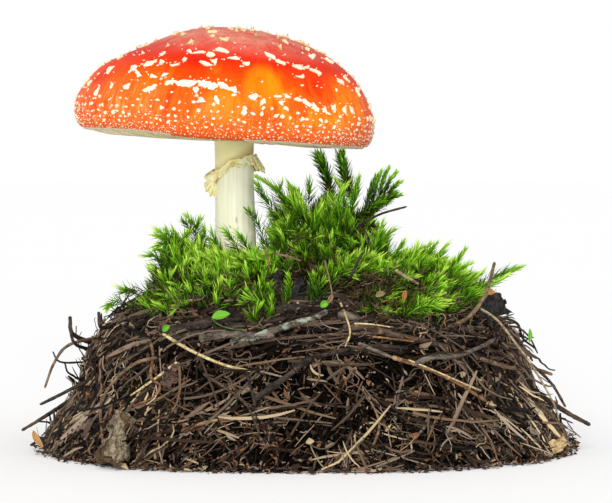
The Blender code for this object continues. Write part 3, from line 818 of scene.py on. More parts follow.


# ---------------------------------------------------------------- the warts

# Large warts on the front: turn in degrees and share down the cap, then width, depth down the
# skin and height in millimetres, then its turn in its own plane.
LARGE_WARTS = (
    (-23, 0.44, 3.7, 3.6, 1.5, 0), (-49, 0.54, 2.6, 3.0, 1.3, 0), (-16, 0.29, 3.6, 4.5, 0.7, 10),
    (6, 0.24, 3.0, 4.0, 1.6, 0), (21, 0.32, 2.2, 3.6, 2.2, 0), (32, 0.44, 2.6, 4.4, 1.6, 20),
    (74, 0.33, 4.6, 3.6, 0.8, 20), (-2, 0.41, 4.4, 3.0, 0.8, -30), (-37, 0.47, 2.0, 2.4, 1.2, 0),
    (-42, 0.33, 3.0, 3.0, 1.0, 0), (50, 0.28, 3.0, 3.2, 1.2, 0), (12, 0.12, 3.6, 3.2, 1.3, 0),
    (-2, 0.52, 7.0, 3.6, 0.45, -22), (-7, 0.56, 4.2, 5.0, 0.6, -20), (-8, 0.625, 6.6, 2.6, 0.5, -12),
    (-5, 0.60, 2.2, 2.8, 0.5, 30), (-19, 0.60, 3.4, 2.6, 0.5, 15), (-23, 0.64, 4.6, 2.0, 0.4, 12),
    (-35, 0.63, 5.6, 3.6, 0.5, 5), (-30, 0.62, 4.2, 2.8, 0.5, -30), (-13, 0.54, 7.2, 1.6, 0.4, 8),
    (-20, 0.53, 3.2, 2.0, 0.4, -20), (3, 0.57, 4.6, 1.8, 0.4, 10), (-33, 0.56, 2.8, 2.6, 0.6, 0),
    (22, 0.54, 6.4, 2.8, 0.6, -38), (26, 0.57, 4.4, 2.6, 0.5, -40), (9, 0.60, 3.0, 2.6, 0.5, -35),
    (34, 0.59, 4.6, 2.6, 0.5, -30), (51, 0.50, 4.0, 4.4, 0.7, -20), (45, 0.61, 5.6, 3.0, 0.5, -35),
    (40, 0.585, 3.6, 2.0, 0.5, -20), (34, 0.65, 4.6, 1.6, 0.4, -15), (-43, 0.67, 4.0, 4.2, 0.6, 20),
    (-38, 0.70, 6.4, 2.0, 0.45, -24), (-30, 0.71, 5.2, 1.8, 0.4, -10), (-25, 0.70, 3.6, 1.6, 0.4, 14),
    (-40, 0.77, 4.0, 4.0, 0.6, 0), (-28, 0.775, 4.8, 3.8, 0.6, 0), (-49, 0.77, 2.6, 3.0, 0.4, 0),
    (-21, 0.735, 5.4, 3.0, 0.45, 4), (-16.5, 0.74, 5.4, 3.0, 0.45, -6), (-12, 0.73, 5.2, 2.8, 0.5, 8),
    (-8, 0.735, 6.2, 3.4, 0.45, -8), (-4, 0.74, 5.8, 4.2, 0.5, 14), (0, 0.742, 5.4, 4.2, 0.5, -20),
    (4, 0.75, 3.8, 3.0, 0.45, -36), (-10, 0.77, 3.4, 2.4, 0.4, -34), (-8, 0.82, 3.2, 2.4, 0.5, 28),
    (-2, 0.815, 3.0, 2.4, 0.5, -30), (12, 0.785, 3.4, 3.0, 0.8, 40), (15, 0.80, 3.6, 3.4, 0.7, 20),
    (22, 0.80, 2.2, 2.2, 0.4, 0), (21, 0.77, 4.0, 1.4, 0.35, 14), (25, 0.765, 4.6, 1.8, 0.4, -22),
    (29, 0.775, 4.0, 2.2, 0.5, -34), (33, 0.79, 4.2, 2.0, 0.45, -30), (37, 0.805, 4.2, 3.0, 0.45, -26),
    (41, 0.81, 3.0, 2.6, 0.45, -10), (46, 0.80, 2.8, 2.8, 0.5, 0), (52, 0.80, 2.8, 3.2, 0.5, 0),
    (57, 0.795, 3.8, 3.4, 0.45, 0), (66, 0.52, 3.6, 3.4, 0.8, 0), (65, 0.63, 4.8, 3.4, 0.6, -30),
    (58, 0.66, 4.8, 2.6, 0.5, -38), (70, 0.70, 3.4, 3.6, 0.6, 0), (-60, 0.68, 3.4, 4.2, 0.6, 0),
    (-66, 0.58, 3.2, 3.6, 0.8, 0), (-70, 0.76, 3.2, 3.4, 0.6, 0), (-57, 0.80, 3.0, 4.6, 0.5, 10),
    (-30, 0.22, 2.6, 2.6, 0.8, 0), (-58, 0.30, 2.8, 2.6, 0.9, 0), (30, 0.18, 2.6, 2.4, 0.8, 0),
    (-2, 0.18, 3.4, 2.6, 0.6, 20), (44, 0.36, 3.0, 2.6, 0.7, 30), (58, 0.42, 3.2, 2.4, 0.7, 20),
    (-66, 0.44, 2.6, 2.8, 0.8, 0), (14, 0.22, 2.2, 2.0, 0.9, 0), (-12, 0.36, 2.0, 1.8, 0.6, 0),
    (80, 0.44, 3.4, 3.0, 0.7, 0), (-80, 0.62, 3.0, 3.2, 0.7, 0), (84, 0.60, 3.0, 3.4, 0.6, 0),
)
# Rows of smaller warts all round: share down the cap, how many, width and height in millimetres.
WART_ROWS = (
    (0.70, 26, 1.6, 0.40), (0.79, 34, 1.7, 0.35), (0.832, 76, 2.3, 0.45),
    (0.864, 96, 2.2, 0.4), (0.892, 112, 1.8, 0.4), (0.915, 132, 1.45, 0.36), (0.936, 156, 1.15, 0.32),
    (0.956, 180, 0.95, 0.28), (0.976, 190, 0.85, 0.24),
)
# Flecks that lie on their own between the rows.
LONE_FLECKS = 70
# Above this share down the cap the large warts are creamy, and below it nearly white.
CREAM_SHARE = 0.5


def whiteness(rng, share, least):
    return least + 0.2 * rng.random() if share < CREAM_SHARE else 0.75 + 0.25 * rng.random()


def wart_shapes():
    """Three crusts modelled once: a low slab, a pyramid and a small fleck."""
    slab = stalk_shape(16, ((0, 1.0), (0.75, 0.96), (1.0, 0.84)), False)
    pyramid = stalk_shape(8, ((0, 1.0), (0.25, 0.86), (0.6, 0.42), (1.0, 0.1)), False)
    fleck = stalk_shape(6, ((0, 1.0), (1.0, 0.62)), False)
    return slab, pyramid, fleck


def lay_warts(skin, rng, name, shape, seats):
    """Copies a crust to each seat, gives each its own torn outline and bends it onto the skin."""
    points, faces = shape
    seats = np.array(seats, float)
    turn, share, wide, deep, high, spin, white = (seats[:, k, None] for k in range(7))
    angle = np.arctan2(points[:, 1], points[:, 0])[None]
    reach = np.hypot(points[:, 0], points[:, 1])[None]
    # Straight broken edges: the nearest of a few lines across each way out from the middle.
    torn = np.full((len(seats), points.shape[0]), 1.7)
    sides = 4
    for side in range(sides):
        facing = math.tau * (side + rng.uniform(-0.45, 0.45, (len(seats), 1))) / sides
        edge = rng.uniform(0.42, 1.0, (len(seats), 1)) / np.maximum(np.cos(angle - facing), 0.05)
        torn = np.minimum(torn, edge)
    for times in (5, 7, 8):
        notch = rng.normal(0, 0.10, (len(seats), 1))
        torn *= 1 + notch * np.sin(times * angle + rng.uniform(0, 6, (len(seats), 1)))
    across = reach * torn * np.cos(angle) * wide / 2
    down = reach * torn * np.sin(angle) * deep / 2
    turned_across = across * np.cos(spin) - down * np.sin(spin)
    turned_down = across * np.sin(spin) + down * np.cos(spin)
    up = points[None, :, 2]
    lift = -0.12 + (high + 0.12) * up * (1 + 0.45 * np.sin(angle * 2 + turn * 60) * up)
    placed = skin.bent(turn, share, turned_across * MM, turned_down * MM, lift * MM)
    palette = palette_of(white * 0.9 + 0.05 + 0.02 * points[None, :, 0], up + 0.01 * points[None, :, 1])
    return mesh_of_copies(name, placed, faces, palette)


def fleck_seat(rng, turn, share, wide, flat, high, spin, white):
    """A fleck's seat, with its depth, height, turn and whiteness drawn from the ranges given."""
    seat = (turn, share, wide, wide * rng.uniform(*flat))
    return (*seat, high[0] * rng.uniform(*high[1:]), rng.uniform(-spin, spin), rng.uniform(*white))


def build_warts(settings):
    """Large crusts placed on the front, scattered ones behind, rows lower down and dense flecks at the rim."""
    skin = CapSkin(settings.cap_radius)
    rng = np.random.default_rng(11)
    slab, pyramid, fleck = wart_shapes()
    crust = wart_finish()
    slabs, pyramids, flecks = [], [], []
    for turn, share, wide, deep, high, spin in LARGE_WARTS:
        white = whiteness(rng, share, 0.15)
        tall = high * (0.72 if high > 1 else 1)
        seat = (math.radians(turn), share, wide, deep, tall, math.radians(-spin), white)
        (pyramids if high > 1 else slabs).append(seat)
        # Splinters that have come away from its edge.
        for _ in range(3 if share > 0.4 else 1):
            aside = rng.uniform(-0.75, 0.75) * wide * MM / (settings.cap_radius * max(share, 0.3))
            below = rng.choice([-1, 1]) * rng.uniform(0.45, 0.8) * deep * MM / skin.arc
            size = rng.uniform(0.6, 1.6)
            splinter = (math.radians(turn) + aside, share + below, size, size * rng.uniform(0.3, 0.7), 0.3)
            flecks.append((*splinter, math.radians(-spin) + rng.normal(0, 0.3), white))
    for share in np.arange(0.10, 0.84, 0.055):
        for turn in np.arange(78, 284, 9.5 / max(0.25, share)):
            turn += rng.uniform(-3.4, 3.4) / max(0.3, share)
            white = whiteness(rng, share, 0.2)
            size = rng.uniform(2.4, 5.2)
            seat = (math.radians(turn), share + rng.uniform(-0.02, 0.02), size, size * rng.uniform(0.5, 0.95))
            high = rng.uniform(1.05, 1.4) if share < 0.45 and rng.random() < 0.5 else rng.uniform(0.4, 0.8)
            (pyramids if high > 1 else slabs).append((*seat, high, rng.uniform(-0.7, 0.7), white))
    for share, count, size, high in WART_ROWS:
        for i in range(count):
            turn = math.tau * (i + rng.uniform(-0.4, 0.4)) / count
            wide = size * rng.uniform(0.5, 1.35)
            lower = share + rng.uniform(-0.007, 0.007)
            flecks.append(fleck_seat(rng, turn, lower, wide, (0.55, 1.15), (high, 0.6, 1.3), 0.5, (0.6, 1)))
    for _ in range(LONE_FLECKS):
        share = rng.uniform(0.36, 0.84)
        wide = rng.uniform(0.4, 1.1)
        turn = rng.uniform(0, math.tau)
        flecks.append(fleck_seat(rng, turn, share, wide, (0.5, 1.3), (1, 0.15, 0.5), 1, (0.2, 1)))
    rim = []
    for _ in range(settings.fleck_count):
        share = 1 - 0.135 * rng.random() ** 0.8
        wide = rng.uniform(0.28, 0.75)
        turn = rng.uniform(0, math.tau)
        rim.append(fleck_seat(rng, turn, share, wide, (0.6, 1.2), (1, 0.12, 0.35), 1, (0.2, 0.9)))
    nodes = [f"wart_{n:02d}" for n in range(1, 15)]
    kinds = (
        ("warts_flat", slab, slabs, nodes[:10], 35),
        ("warts_pointed", pyramid, pyramids, nodes[10:], 30),
        ("warts_small", fleck, flecks, (), 40),
        ("rim_flecks", fleck, rim, (), 40),
    )
    for name, shape, seats, stands_for, smooth in kinds:
        finished(lay_warts(skin, rng, name, shape, seats), name, crust, "veil", stands_for, smooth)


# ---------------------------------------------------------------- the stem and ring


def build_stem():
    """A turned stem with raised fibres, and curled shreds near its foot."""
    side = smooth_route([(r * MM, z * MM) for r, z in STEM_SIDE], 120)
    outline = [(0.0, 30 * MM), (0.006, 30.8 * MM)] + [tuple(p) for p in side] + [(0.0, side[-1][1])]
    stem = turned("stem_body", outline, 120)
    points = points_of(stem)
    reach = np.hypot(points[:, 0], points[:, 1])
    turn = np.arctan2(points[:, 1], points[:, 0])
    for i, (x, _, z) in enumerate(points):
        if reach[i] < MM:
            continue
        around = Vector((math.cos(turn[i]) * 5.5, math.sin(turn[i]) * 5.5, z * 34))
        slow = Vector((math.cos(turn[i]) * 1.2, math.sin(turn[i]) * 1.2, z * 55))
        lower = 1 if z < 0.112 + x * 0.6 else 0.25
        grow = 0.13 * noise.fractal(around, 1.0, 2.0, 3) * lower + 0.28 * noise.noise(slow)
        points[i, 0] += grow * MM * math.cos(turn[i])
        points[i, 1] += grow * MM * math.sin(turn[i])
    points[:, 0] += STEM_X - 0.4 * MM - 0.011 * (points[:, 2] - 50 * MM)
    move_points(stem, points)
    finished(stem, "stem_body", stem_finish(), "stem_flesh", ["stem"])
    rng = np.random.default_rng(21)
    shape = stalk_shape(3, ((0, 0.8), (0.3, 1.0), (0.7, 0.7), (1.0, 0)), True, 0.35)
    count = SHRED_COUNT
    z = 0.060 + 0.030 * rng.random(count) ** 1.4
    turn = rng.uniform(0, math.tau, count)
    radius = np.interp(z, side[:, 1], side[:, 0]) - 0.15 * MM
    out = np.stack([np.cos(turn), np.sin(turn), 0 * turn], axis=1)
    base = out * radius[:, None] + np.stack([0 * z + STEM_X, 0 * z, z], axis=1)
    up = np.tile([0.0, 0.0, 1.0], (count, 1))
    length = rng.uniform(1.2, 3.6, count) * MM
    leaves = dict(
        base=base,
        axis=up,
        out=out,
        length=length,
        width=rng.uniform(0.5, 1.3, count) * MM,
        start=rng.uniform(0.15, 0.4, count),
        end=rng.uniform(0.3, 1.5, count),
        fresh=rng.random(count),
    )
    shreds = mesh_of_copies("stem_shreds", *bent_leaves(shape, leaves))
    shred = Finish("stem_shred", Roughness=0.8)
    tint, _ = shred.palette()
    shred.colour(shred.blend(tint, (0.70, 0.62, 0.42), (0.87, 0.85, 0.76)))
    finished(shreds, "stem_shreds", shred.material, "stem_flesh")


# The ring's height, how far it hangs and how far it stands off, in millimetres, by the turn from the right
# side through the back, the left side and the front.
RING_TURNS = (0, 25, 60, 90, 135, 165, 180, 198, 214, 232, 250, 270, 315, 340, 360)
RING_TOP = (
    115.9, 115.4, 114.0, 112.4, 110.4, 109.5, 109.3, 109.2, 109.4, 111.0, 112.8, 114.4, 115.6, 116.0, 115.9,
)
RING_HANG = (6.4, 5.4, 4.4, 4.6, 4.8, 5.0, 5.2, 5.4, 4.6, 3.4, 3.0, 2.8, 3.6, 5.9, 6.4)
RING_SPREAD = (3.9, 2.9, 1.8, 2.0, 3.0, 4.4, 4.6, 4.0, 2.0, 0.7, 0.5, 0.5, 1.2, 3.4, 3.9)
VEIL_THICKNESS = 0.45 * MM


def build_ring():
    """The torn veil: a grid round the stem, hung in a long fold on the left and a flap on the right."""
    deselect()
    bpy.ops.mesh.primitive_grid_add(x_subdivisions=260, y_subdivisions=22, size=1)
    ring = bpy.context.object
    points = points_of(ring)
    turn = (points[:, 0] + 0.5) * math.tau
    down = 0.5 - points[:, 1]
    left = np.clip(-np.cos(turn + 0.1), 0, 1) ** 3
    front = np.clip(-np.sin(turn), 0, 1) ** 2
    rows = (RING_TOP, RING_HANG, RING_SPREAD)
    top, hang, spread = (np.interp(np.degrees(turn), RING_TURNS, row) for row in rows)
    top = top + 0.35 * np.sin(turn * 7 + 1) + 0.2 * np.sin(turn * 17)
    ragged = 0.10 * np.sin(turn * 9 + 1) + 0.10 * np.sin(turn * 23 + 2) + 0.07 * np.sin(turn * 41)
    hang = hang * (1 + ragged * (1 - 0.7 * left))
    pleat = np.sin(turn * 26 + 1.5 * np.sin(turn * 3)) * 0.24 + np.sin(turn * 47 + 2) * 0.14
    # On the left a knob; elsewhere one slope outwards.
    knob = 0.80 * bell(down, 0.34, 0.30)
    out = 0.3 + spread * (left * knob + (1 - left) * down**0.8)
    out += pleat * (0.25 + 0.8 * down) * (0.5 + 0.35 * spread)
    rolled = bell(down, 0.05, 0.06) * 0.5
    rolled += front * bell(down, 0.84, 0.12) * 0.75
    radius = 7.7 + out + rolled
    points[:, 0] = STEM_X - 1.1 * MM + radius * np.cos(turn) * MM
    points[:, 1] = radius * np.sin(turn) * MM
    points[:, 2] = (top - down * hang) * MM
    move_points(ring, points)
    select_only(ring)
    bpy.ops.object.mode_set(mode="EDIT")
    close_edit(weld=True)
    thicken(ring, VEIL_THICKNESS, 0)
    veil = veil_finish()
    finished(ring, "ring_skirt", veil, "veil", ["ring"])
    build_ring_fan(veil)


def build_ring_fan(veil):
    """The fluted fan of veil that hangs below the ring's knob on the left, against the stem."""
    deselect()
    bpy.ops.mesh.primitive_grid_add(x_subdivisions=72, y_subdivisions=18, size=1)
    fan = bpy.context.object
    points = points_of(fan)
    aside, down = points[:, 0] + 0.5, 0.5 - points[:, 1]
    angle = np.radians(202 + 76 * aside)
    longest = 5.2 + 2.6 * np.sin(aside * math.pi * 0.62) + 0.35 * np.sin(aside * 23)
    longest = longest + 0.2 * np.sin(aside * 51 + 1)
    reach = 0.8 + (longest - 0.8) * down
    flutes = np.sin(aside * 30 + 1.5 * np.sin(aside * 5)) * 0.62 + np.sin(aside * 57 + 2) * 0.2
    curl = bell(down, 0.95, 0.12) * 0.8
    points[:, 0] = STEM_X - 7.9 * MM + reach * np.cos(angle) * MM
    points[:, 2] = 107.0 * MM + reach * np.sin(angle) * MM + flutes * down * 0.35 * MM
    points[:, 1] = (-1.6 - 1.5 * np.sin(down * 2.2) + flutes * (0.3 + down) + curl) * MM
    move_points(fan, points)
    thicken(fan, VEIL_THICKNESS, 0)
    finished(fan, "ring_fan", veil, "veil")


# ---------------------------------------------------------------- the moss


def bent_leaves(shape, leaves):
    """Copies of a straight leaf, each bent from its start angle off the shoot's axis to its end angle."""
    points, faces = shape
    t = points[None, :, 2]
    start, end = leaves["start"][:, None], leaves["end"][:, None]
    turn = end - start
    turn = np.where(np.abs(turn) < 1e-3, 1e-3, turn)
    angle = start + turn * t
    forward = (np.sin(angle) - np.sin(start)) / turn
    outward = (np.cos(start) - np.cos(angle)) / turn
    axis, out = leaves["axis"][:, None], leaves["out"][:, None]
    side = np.cross(axis, out)
    length, width = leaves["length"][:, None, None], leaves["width"][:, None, None] / 2
    facing = out * np.cos(angle)[..., None] - axis * np.sin(angle)[..., None]
    placed = leaves["base"][:, None] + length * (axis * forward[..., None] + out * outward[..., None])
    placed = placed + width * (side * points[None, :, 0, None] + facing * points[None, :, 1, None])
    if "sweep" in leaves:
        placed = placed + leaves["sweep"][:, None] * length * t[..., None] ** 2
    across = leaves["fresh"][:, None] * 0.97 + 0.012 * points[None, :, 0] + 0.01
    return placed, faces, palette_of(across, t * 0.96 + 0.01 * points[None, :, 1] + 0.02)


# How each kind of shoot grows: leaves per millimetre of stalk, leaf length and width against the usual, the
# leaf's angle off the stalk where it starts and at its tip, how fresh its green is, and how far it is swept
# to one side. Some also say how far their leaves close up towards the top, and how much the stalk sways.
SHOOT_KINDS = {
    "plume": dict(dense=4.0, length=0.92, width=1.0, start=0.80, end=0.22, fresh=0.74, swept=0.26),
    "brush": dict(dense=4.2, length=0.90, width=1.0, start=1.10, end=0.60, fresh=0.66, swept=0.30),
    "star": dict(dense=5.0, length=0.95, width=1.05, start=1.20, end=0.80, fresh=0.80, swept=0.12),
    "bristle": dict(
        dense=13.0, length=0.96, width=1.3, start=0.95, end=0.55, fresh=0.45, swept=0.12, closed=0.3, sway=0.03
    ),
    "finger": dict(
        dense=8.0, length=0.55, width=1.1, start=0.85, end=0.30, fresh=0.50, swept=0.10, closed=0.6, sway=0.05
    ),
    "dead": dict(dense=2.4, length=0.85, width=0.85, start=1.00, end=1.30, fresh=0.12, swept=0.40),
}


def shoot_leaves(rng, settings, kind, foot, tip, freshness_and_shade, lean):
    """The leaves of one shoot: a spiral up a slightly bent stalk, closing into a point at the top."""
    way = SHOOT_KINDS[kind]
    span = tip - foot
    length = np.linalg.norm(span)
    axis = span / length
    helper = np.array([0.31, 0.9, 0.2]) if abs(axis[2]) > 0.5 else np.array([0, 0.1, 1.0])
    u = unit(np.cross(axis, helper))
    v = np.cross(axis, u)
    count = max(8, int(way["dense"] * length / MM))
    s = (np.arange(count) + rng.random(count) * 0.6) / count
    sway = way.get("sway", 0.10)
    bend = (u * rng.normal(0, sway) + v * rng.normal(0, sway) + np.array([0, 0, 0.04])) * length
    base = foot + span * s[:, None] + bend * (4 * s * (1 - s))[:, None]
    stalk = unit(axis + bend / length * 4 * (1 - 2 * s)[:, None])
    turn = GOLDEN_TURN * np.arange(count) + rng.uniform(0, math.tau) + rng.normal(0, 0.3, count)
    out = np.cos(turn)[:, None] * u + np.sin(turn)[:, None] * v
    out = unit(out - stalk * np.sum(out * stalk, axis=1)[:, None])
    closing = 1 - way.get("closed", 0.82) * s**2
    side = unit(np.array([lean[0], lean[1], 0.35]) + rng.normal(0, 0.55, 3)) * way["swept"]
    # Painted shade: the leaves lower down the shoot are darker.
    fresh = way["fresh"] + freshness_and_shade + 0.60 * (s - 0.62) + rng.normal(0, 0.10, count)
    return dict(
        base=base,
        axis=stalk,
        out=out,
        length=settings.leaf_length * way["length"] * rng.uniform(0.70, 1.20, count) * (1 - 0.25 * s),
        width=settings.leaf_width * way["width"] * rng.uniform(0.7, 1.15, count) * (0.85 + 0.4 * s),
        start=way["start"] * closing * rng.uniform(0.75, 1.25, count),
        end=way["end"] * closing + rng.normal(0, 0.16, count),
        fresh=np.clip(fresh, 0.0, 1.0),
        sweep=side + rng.normal(0, 0.07, (count, 3)),
    )


GREEN = (("plume", 0.46), ("brush", 0.31), ("star", 0.18), ("dead", 0.05))
MIXED = (("plume", 0.35), ("brush", 0.33), ("dead", 0.32))
OLD = (("dead", 0.66), ("brush", 0.24), ("plume", 0.10))
# Each cushion is a few domes. A dome's middle, half width, half depth and height are shares of the cushion's
# own, and then come the way that it leans and its usual kinds of shoot.
CUSHIONS = {
    "left": (
        (0.47, 0.06, 0.70, 0.69, 1.00, (-0.25, -0.15, 1.0), GREEN),
        (-0.05, -0.57, 0.84, 0.66, 0.26, (-0.50, -0.40, 0.7), OLD),
        (1.12, -0.29, 0.58, 0.63, 0.77, (-0.35, -0.40, 1.0), GREEN),
    ),
    "front": (
        (-0.19, 0.10, 0.90, 1.00, 0.95, (-0.25, -0.45, 0.9), GREEN),
        (0.05, -0.80, 0.58, 0.50, 0.50, (0.0, -0.30, 1.0), MIXED),
    ),
    "middle": (
        (0.00, -0.04, 0.83, 0.78, 0.97, (0.05, -0.10, 1.0), GREEN),
        (-0.79, -0.22, 0.42, 0.61, 1.03, (-0.25, -0.15, 1.0), GREEN),
        (0.30, -0.91, 0.75, 0.78, 0.40, (0.35, -0.50, 0.7), MIXED),
        (-0.40, -0.62, 0.50, 0.50, 0.66, (-0.05, -0.50, 0.8), MIXED),
    ),
    "right": (
        (-0.85, -0.30, 0.90, 0.65, 0.74, (0.50, -0.25, 0.9), GREEN),
        (-0.15, -0.40, 0.85, 0.65, 0.54, (0.85, -0.25, 0.75), GREEN),
        (0.50, -0.35, 0.45, 0.40, 0.33, (1.0, -0.10, 0.5), GREEN),
        (-1.25, -1.05, 1.10, 0.35, 0.13, (0.30, -0.70, 0.3), OLD),
        (-0.50, -1.00, 0.80, 0.35, 0.30, (0.80, -0.40, 0.6), MIXED),
        (-0.15, 0.58, 0.90, 0.50, 0.60, (0.5, 0.40, 0.8), GREEN),
    ),
    "back_left": ((0.0, 0.0, 1.0, 1.0, 0.90, (-0.2, 0.40, 0.9), GREEN),),
    "back_right": ((0.0, 0.0, 1.0, 1.0, 0.90, (0.2, 0.40, 0.9), GREEN),),
}
# The dark hollow in the front of the moss, where no shoot grows: from x to x, and in front of y.
HOLLOW = (-11 * MM, 8 * MM, -33 * MM)
# No shoot grows where the heap's side has fallen below this height.
MOSS_EDGE = 51.5 * MM
# How much fresher than the rest a cushion's green is.
FRESHER = {"left": 0.20, "middle": 0.16}
LEAF_TRIANGLES = 16
PIECE_LIMIT = 190000

# Shoots that stand out of the cushions: kind, foot and tip in millimetres.
LONE_SHOOTS = {
    "left": (
        ("star", (-52, -22, 80), (-58, -26, 84.5)), ("brush", (-52, -20, 82), (-54.5, -22, 86)),
        ("star", (-53, -24, 81), (-57, -28, 81)), ("star", (-44, -18, 84), (-46, -18, 91)),
        ("brush", (-45, -20, 86), (-48, -22, 90)), ("brush", (-43, -18, 84), (-42, -18, 90)),
        ("brush", (-54, -30, 75), (-58, -34, 79.5)), ("brush", (-57, -30, 73), (-60.5, -34, 77)),
        ("brush", (-31, -30, 78), (-36, -32, 85)), ("star", (-46, -20, 76), (-46, -24, 85.5)),
        ("brush", (-42, -20, 77), (-39.5, -23, 86)), ("brush", (-49, -20, 76), (-51, -23, 85)),
        ("star", (-72, -30, 58), (-77, -33, 57)), ("star", (-66, -28, 62), (-71, -30, 64)),
        ("dead", (-62, -30, 62), (-70, -32, 63)),
    ),
    "front": (
        ("brush", (-27, -36, 80), (-31, -38, 87)), ("brush", (-23, -36, 80), (-25.5, -38, 85)),
        ("brush", (-18, -16, 84), (-23, -18, 94)), ("brush", (2, -50, 60), (3, -54, 70)),
        ("brush", (5, -52, 60), (6.5, -56, 68)), ("plume", (-8, -52, 58), (-6, -58, 70)),
    ),
    "middle": (
        ("plume", (-8, -14, 95), (-18.5, -16, 107)), ("brush", (-12, -16, 94), (-19, -18, 104)),
        ("brush", (0, -16, 96), (1, -17, 105)), ("brush", (-6, -16, 96), (-6, -17, 103)),
        ("brush", (-3, -14, 96), (-4, -15, 102)), ("brush", (-9, -12, 97), (-10, -13, 103)),
        ("brush", (1, -23, 85), (5, -27, 94)), ("plume", (13, -18, 90), (12, -20, 105)),
        ("plume", (15, -20, 90), (15, -22, 103)), ("plume", (17, -18, 92), (20.5, -22, 106)),
        ("brush", (10, -22, 84), (9, -25, 96)), ("bristle", (20, -10, 90), (31, -13, 98)),
        ("finger", (26, -11, 96), (29.5, -12, 109)), ("finger", (29, -12, 97.5), (32.2, -14, 110)),
        ("finger", (31.5, -12, 98.5), (35, -14, 108.5)), ("finger", (33, -12, 98), (37, -16, 105)),
        ("finger", (31, -12, 97), (36.5, -16, 100)), ("bristle", (4, -8, 92), (9, -10, 99)),
    ),
    "right": (
        ("plume", (26, -18, 78), (29.5, -20, 88)), ("plume", (30, -18, 78), (33.5, -20, 86)),
        ("plume", (29, -22, 74), (37, -26, 81)), ("plume", (33, -26, 70), (42.5, -30, 80)),
        ("plume", (36, -24, 71), (43, -28, 77)), ("plume", (46, -20, 73), (50, -22, 80)),
        ("plume", (50, -20, 73), (54, -24, 79.5)), ("plume", (53, -26, 69), (61, -30, 78)),
        ("plume", (55, -30, 66), (63, -34, 73.5)), ("plume", (56, -32, 66), (67, -36, 70)),
        ("plume", (62, -30, 62), (76, -28, 68)), ("plume", (62, -36, 59), (68, -42, 63)),
        ("star", (40, -58, 56), (51, -62, 60)), ("plume", (40, -22, 76), (47, -25, 80)),
    ),
}

# The tall single shoots that have a solid of their own: kind, foot and tip in millimetres.
TALL_SHOOTS = {
    "moss_shoot_tall_left": ("bristle", (10.6, -6.5, 96), (5.4, -9, 115)),
    "moss_shoot_tall_right": ("bristle", (19.5, -5, 97), (14.0, -6, 115.2)),
    "moss_shoot_fork_left": ("finger", (23, -7, 91), (27.5, -9, 107)),
    "moss_shoot_fork_right": ("finger", (24, -9, 91), (35, -12, 101)),
    "moss_shoot_near_stem": ("brush", (0, -12, 88), (-8, -14, 99)),
    "moss_shoot_left": ("star", (-52, -20, 74), (-57.5, -22, 86)),
    "moss_shoot_right": ("brush", (66, -18, 62), (82, -20, 71.5)),
}


def dome_of(short, dome):
    """A dome's middle, half width, half depth and height, from the cushion that it belongs to."""
    low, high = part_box(f"moss_cushion_{short}")
    centre, half = (low + high) / 2, (high - low) / 2
    x, y, wide, deep, tall = dome[:5]
    middle = (centre.x + half.x * x, centre.y + half.y * y)
    return middle, half.x * wide, half.y * deep, (high.z - CUSHION_BASE) * tall


def dome_rise(away):
    """A dome's height at a share of the way out from its middle."""
    return max(0.0, 1 - min(away, 0.999) ** 2.8) ** 0.65


def dome_shoots(rng, settings, short, dome):
    """Shoots spread over a dome, their tips just inside it."""
    (x0, y0), wide, deep, tall = dome_of(short, dome)
    lean, kinds = dome[5:]
    names = [name for name, _ in kinds]
    weights = np.array([share for _, share in kinds])
    spacing = settings.spacing * (1.25 if short.startswith("back") else 1)
    count = int(math.pi * wide * deep * (1 + tall / (wide + deep)) / spacing**2)
    found = []
    for i in range(count):
        away = math.sqrt((i + 0.5) / count)
        turn = GOLDEN_TURN * i + rng.normal(0, 0.12)
        x, y = x0 + wide * away * math.cos(turn), y0 + deep * away * math.sin(turn)
        ground = heap_height(x, y)
        if ground < MOSS_EDGE or (HOLLOW[0] < x < HOLLOW[1] and y < HOLLOW[2]):
            continue
        rise = dome_rise(away)
        tuft = noise.noise(Vector((x, y, 0)) * 110)
        depth = rng.uniform(0.74, 1.06) + 0.22 * tuft
        top = ground + max(2 * MM, tall * rise * depth)
        outward = np.array([math.cos(turn) * deep, math.sin(turn) * wide, 0]) / max(wide, deep)
        way = unit(np.array(lean) + outward * 0.8 * away**2 + rng.normal(0, 0.28, 3))
        reach = rng.uniform(9, 15) * MM * (0.55 + 0.45 * rise)
        tip = np.array([x, y, top])
        # Round the foot of a dome more of the shoots are old and brown.
        faded = 0.9 if short in ("left", "middle") and y < y0 else 0.6
        at_edge = max(0.0, 1 - (ground - MOSS_EDGE) / (4 * MM))
        in_front = max(0.0, (y0 - y) / deep) if short == "middle" else 0.0
        old = rng.random() < max(faded * (1 - rise) ** 1.2, 0.6 * at_edge, 0.5 * in_front)
        kind = "dead" if old else rng.choice(names, p=weights)
        foot = tip - way * reach
        foot[2] = max(foot[2], 2 * MM)
        # Painted shade: a shoot whose tip lies lower among the others is darker.
        shift = FRESHER.get(short, 0) + 1.1 * (depth - 0.90) - 0.30 * (1 - rise)
        shift = shift - 0.12 * at_edge - 0.20 * in_front
        shift += rng.normal(0, 0.11)
        found.append((kind, foot, tip, shift, lean))
    return found


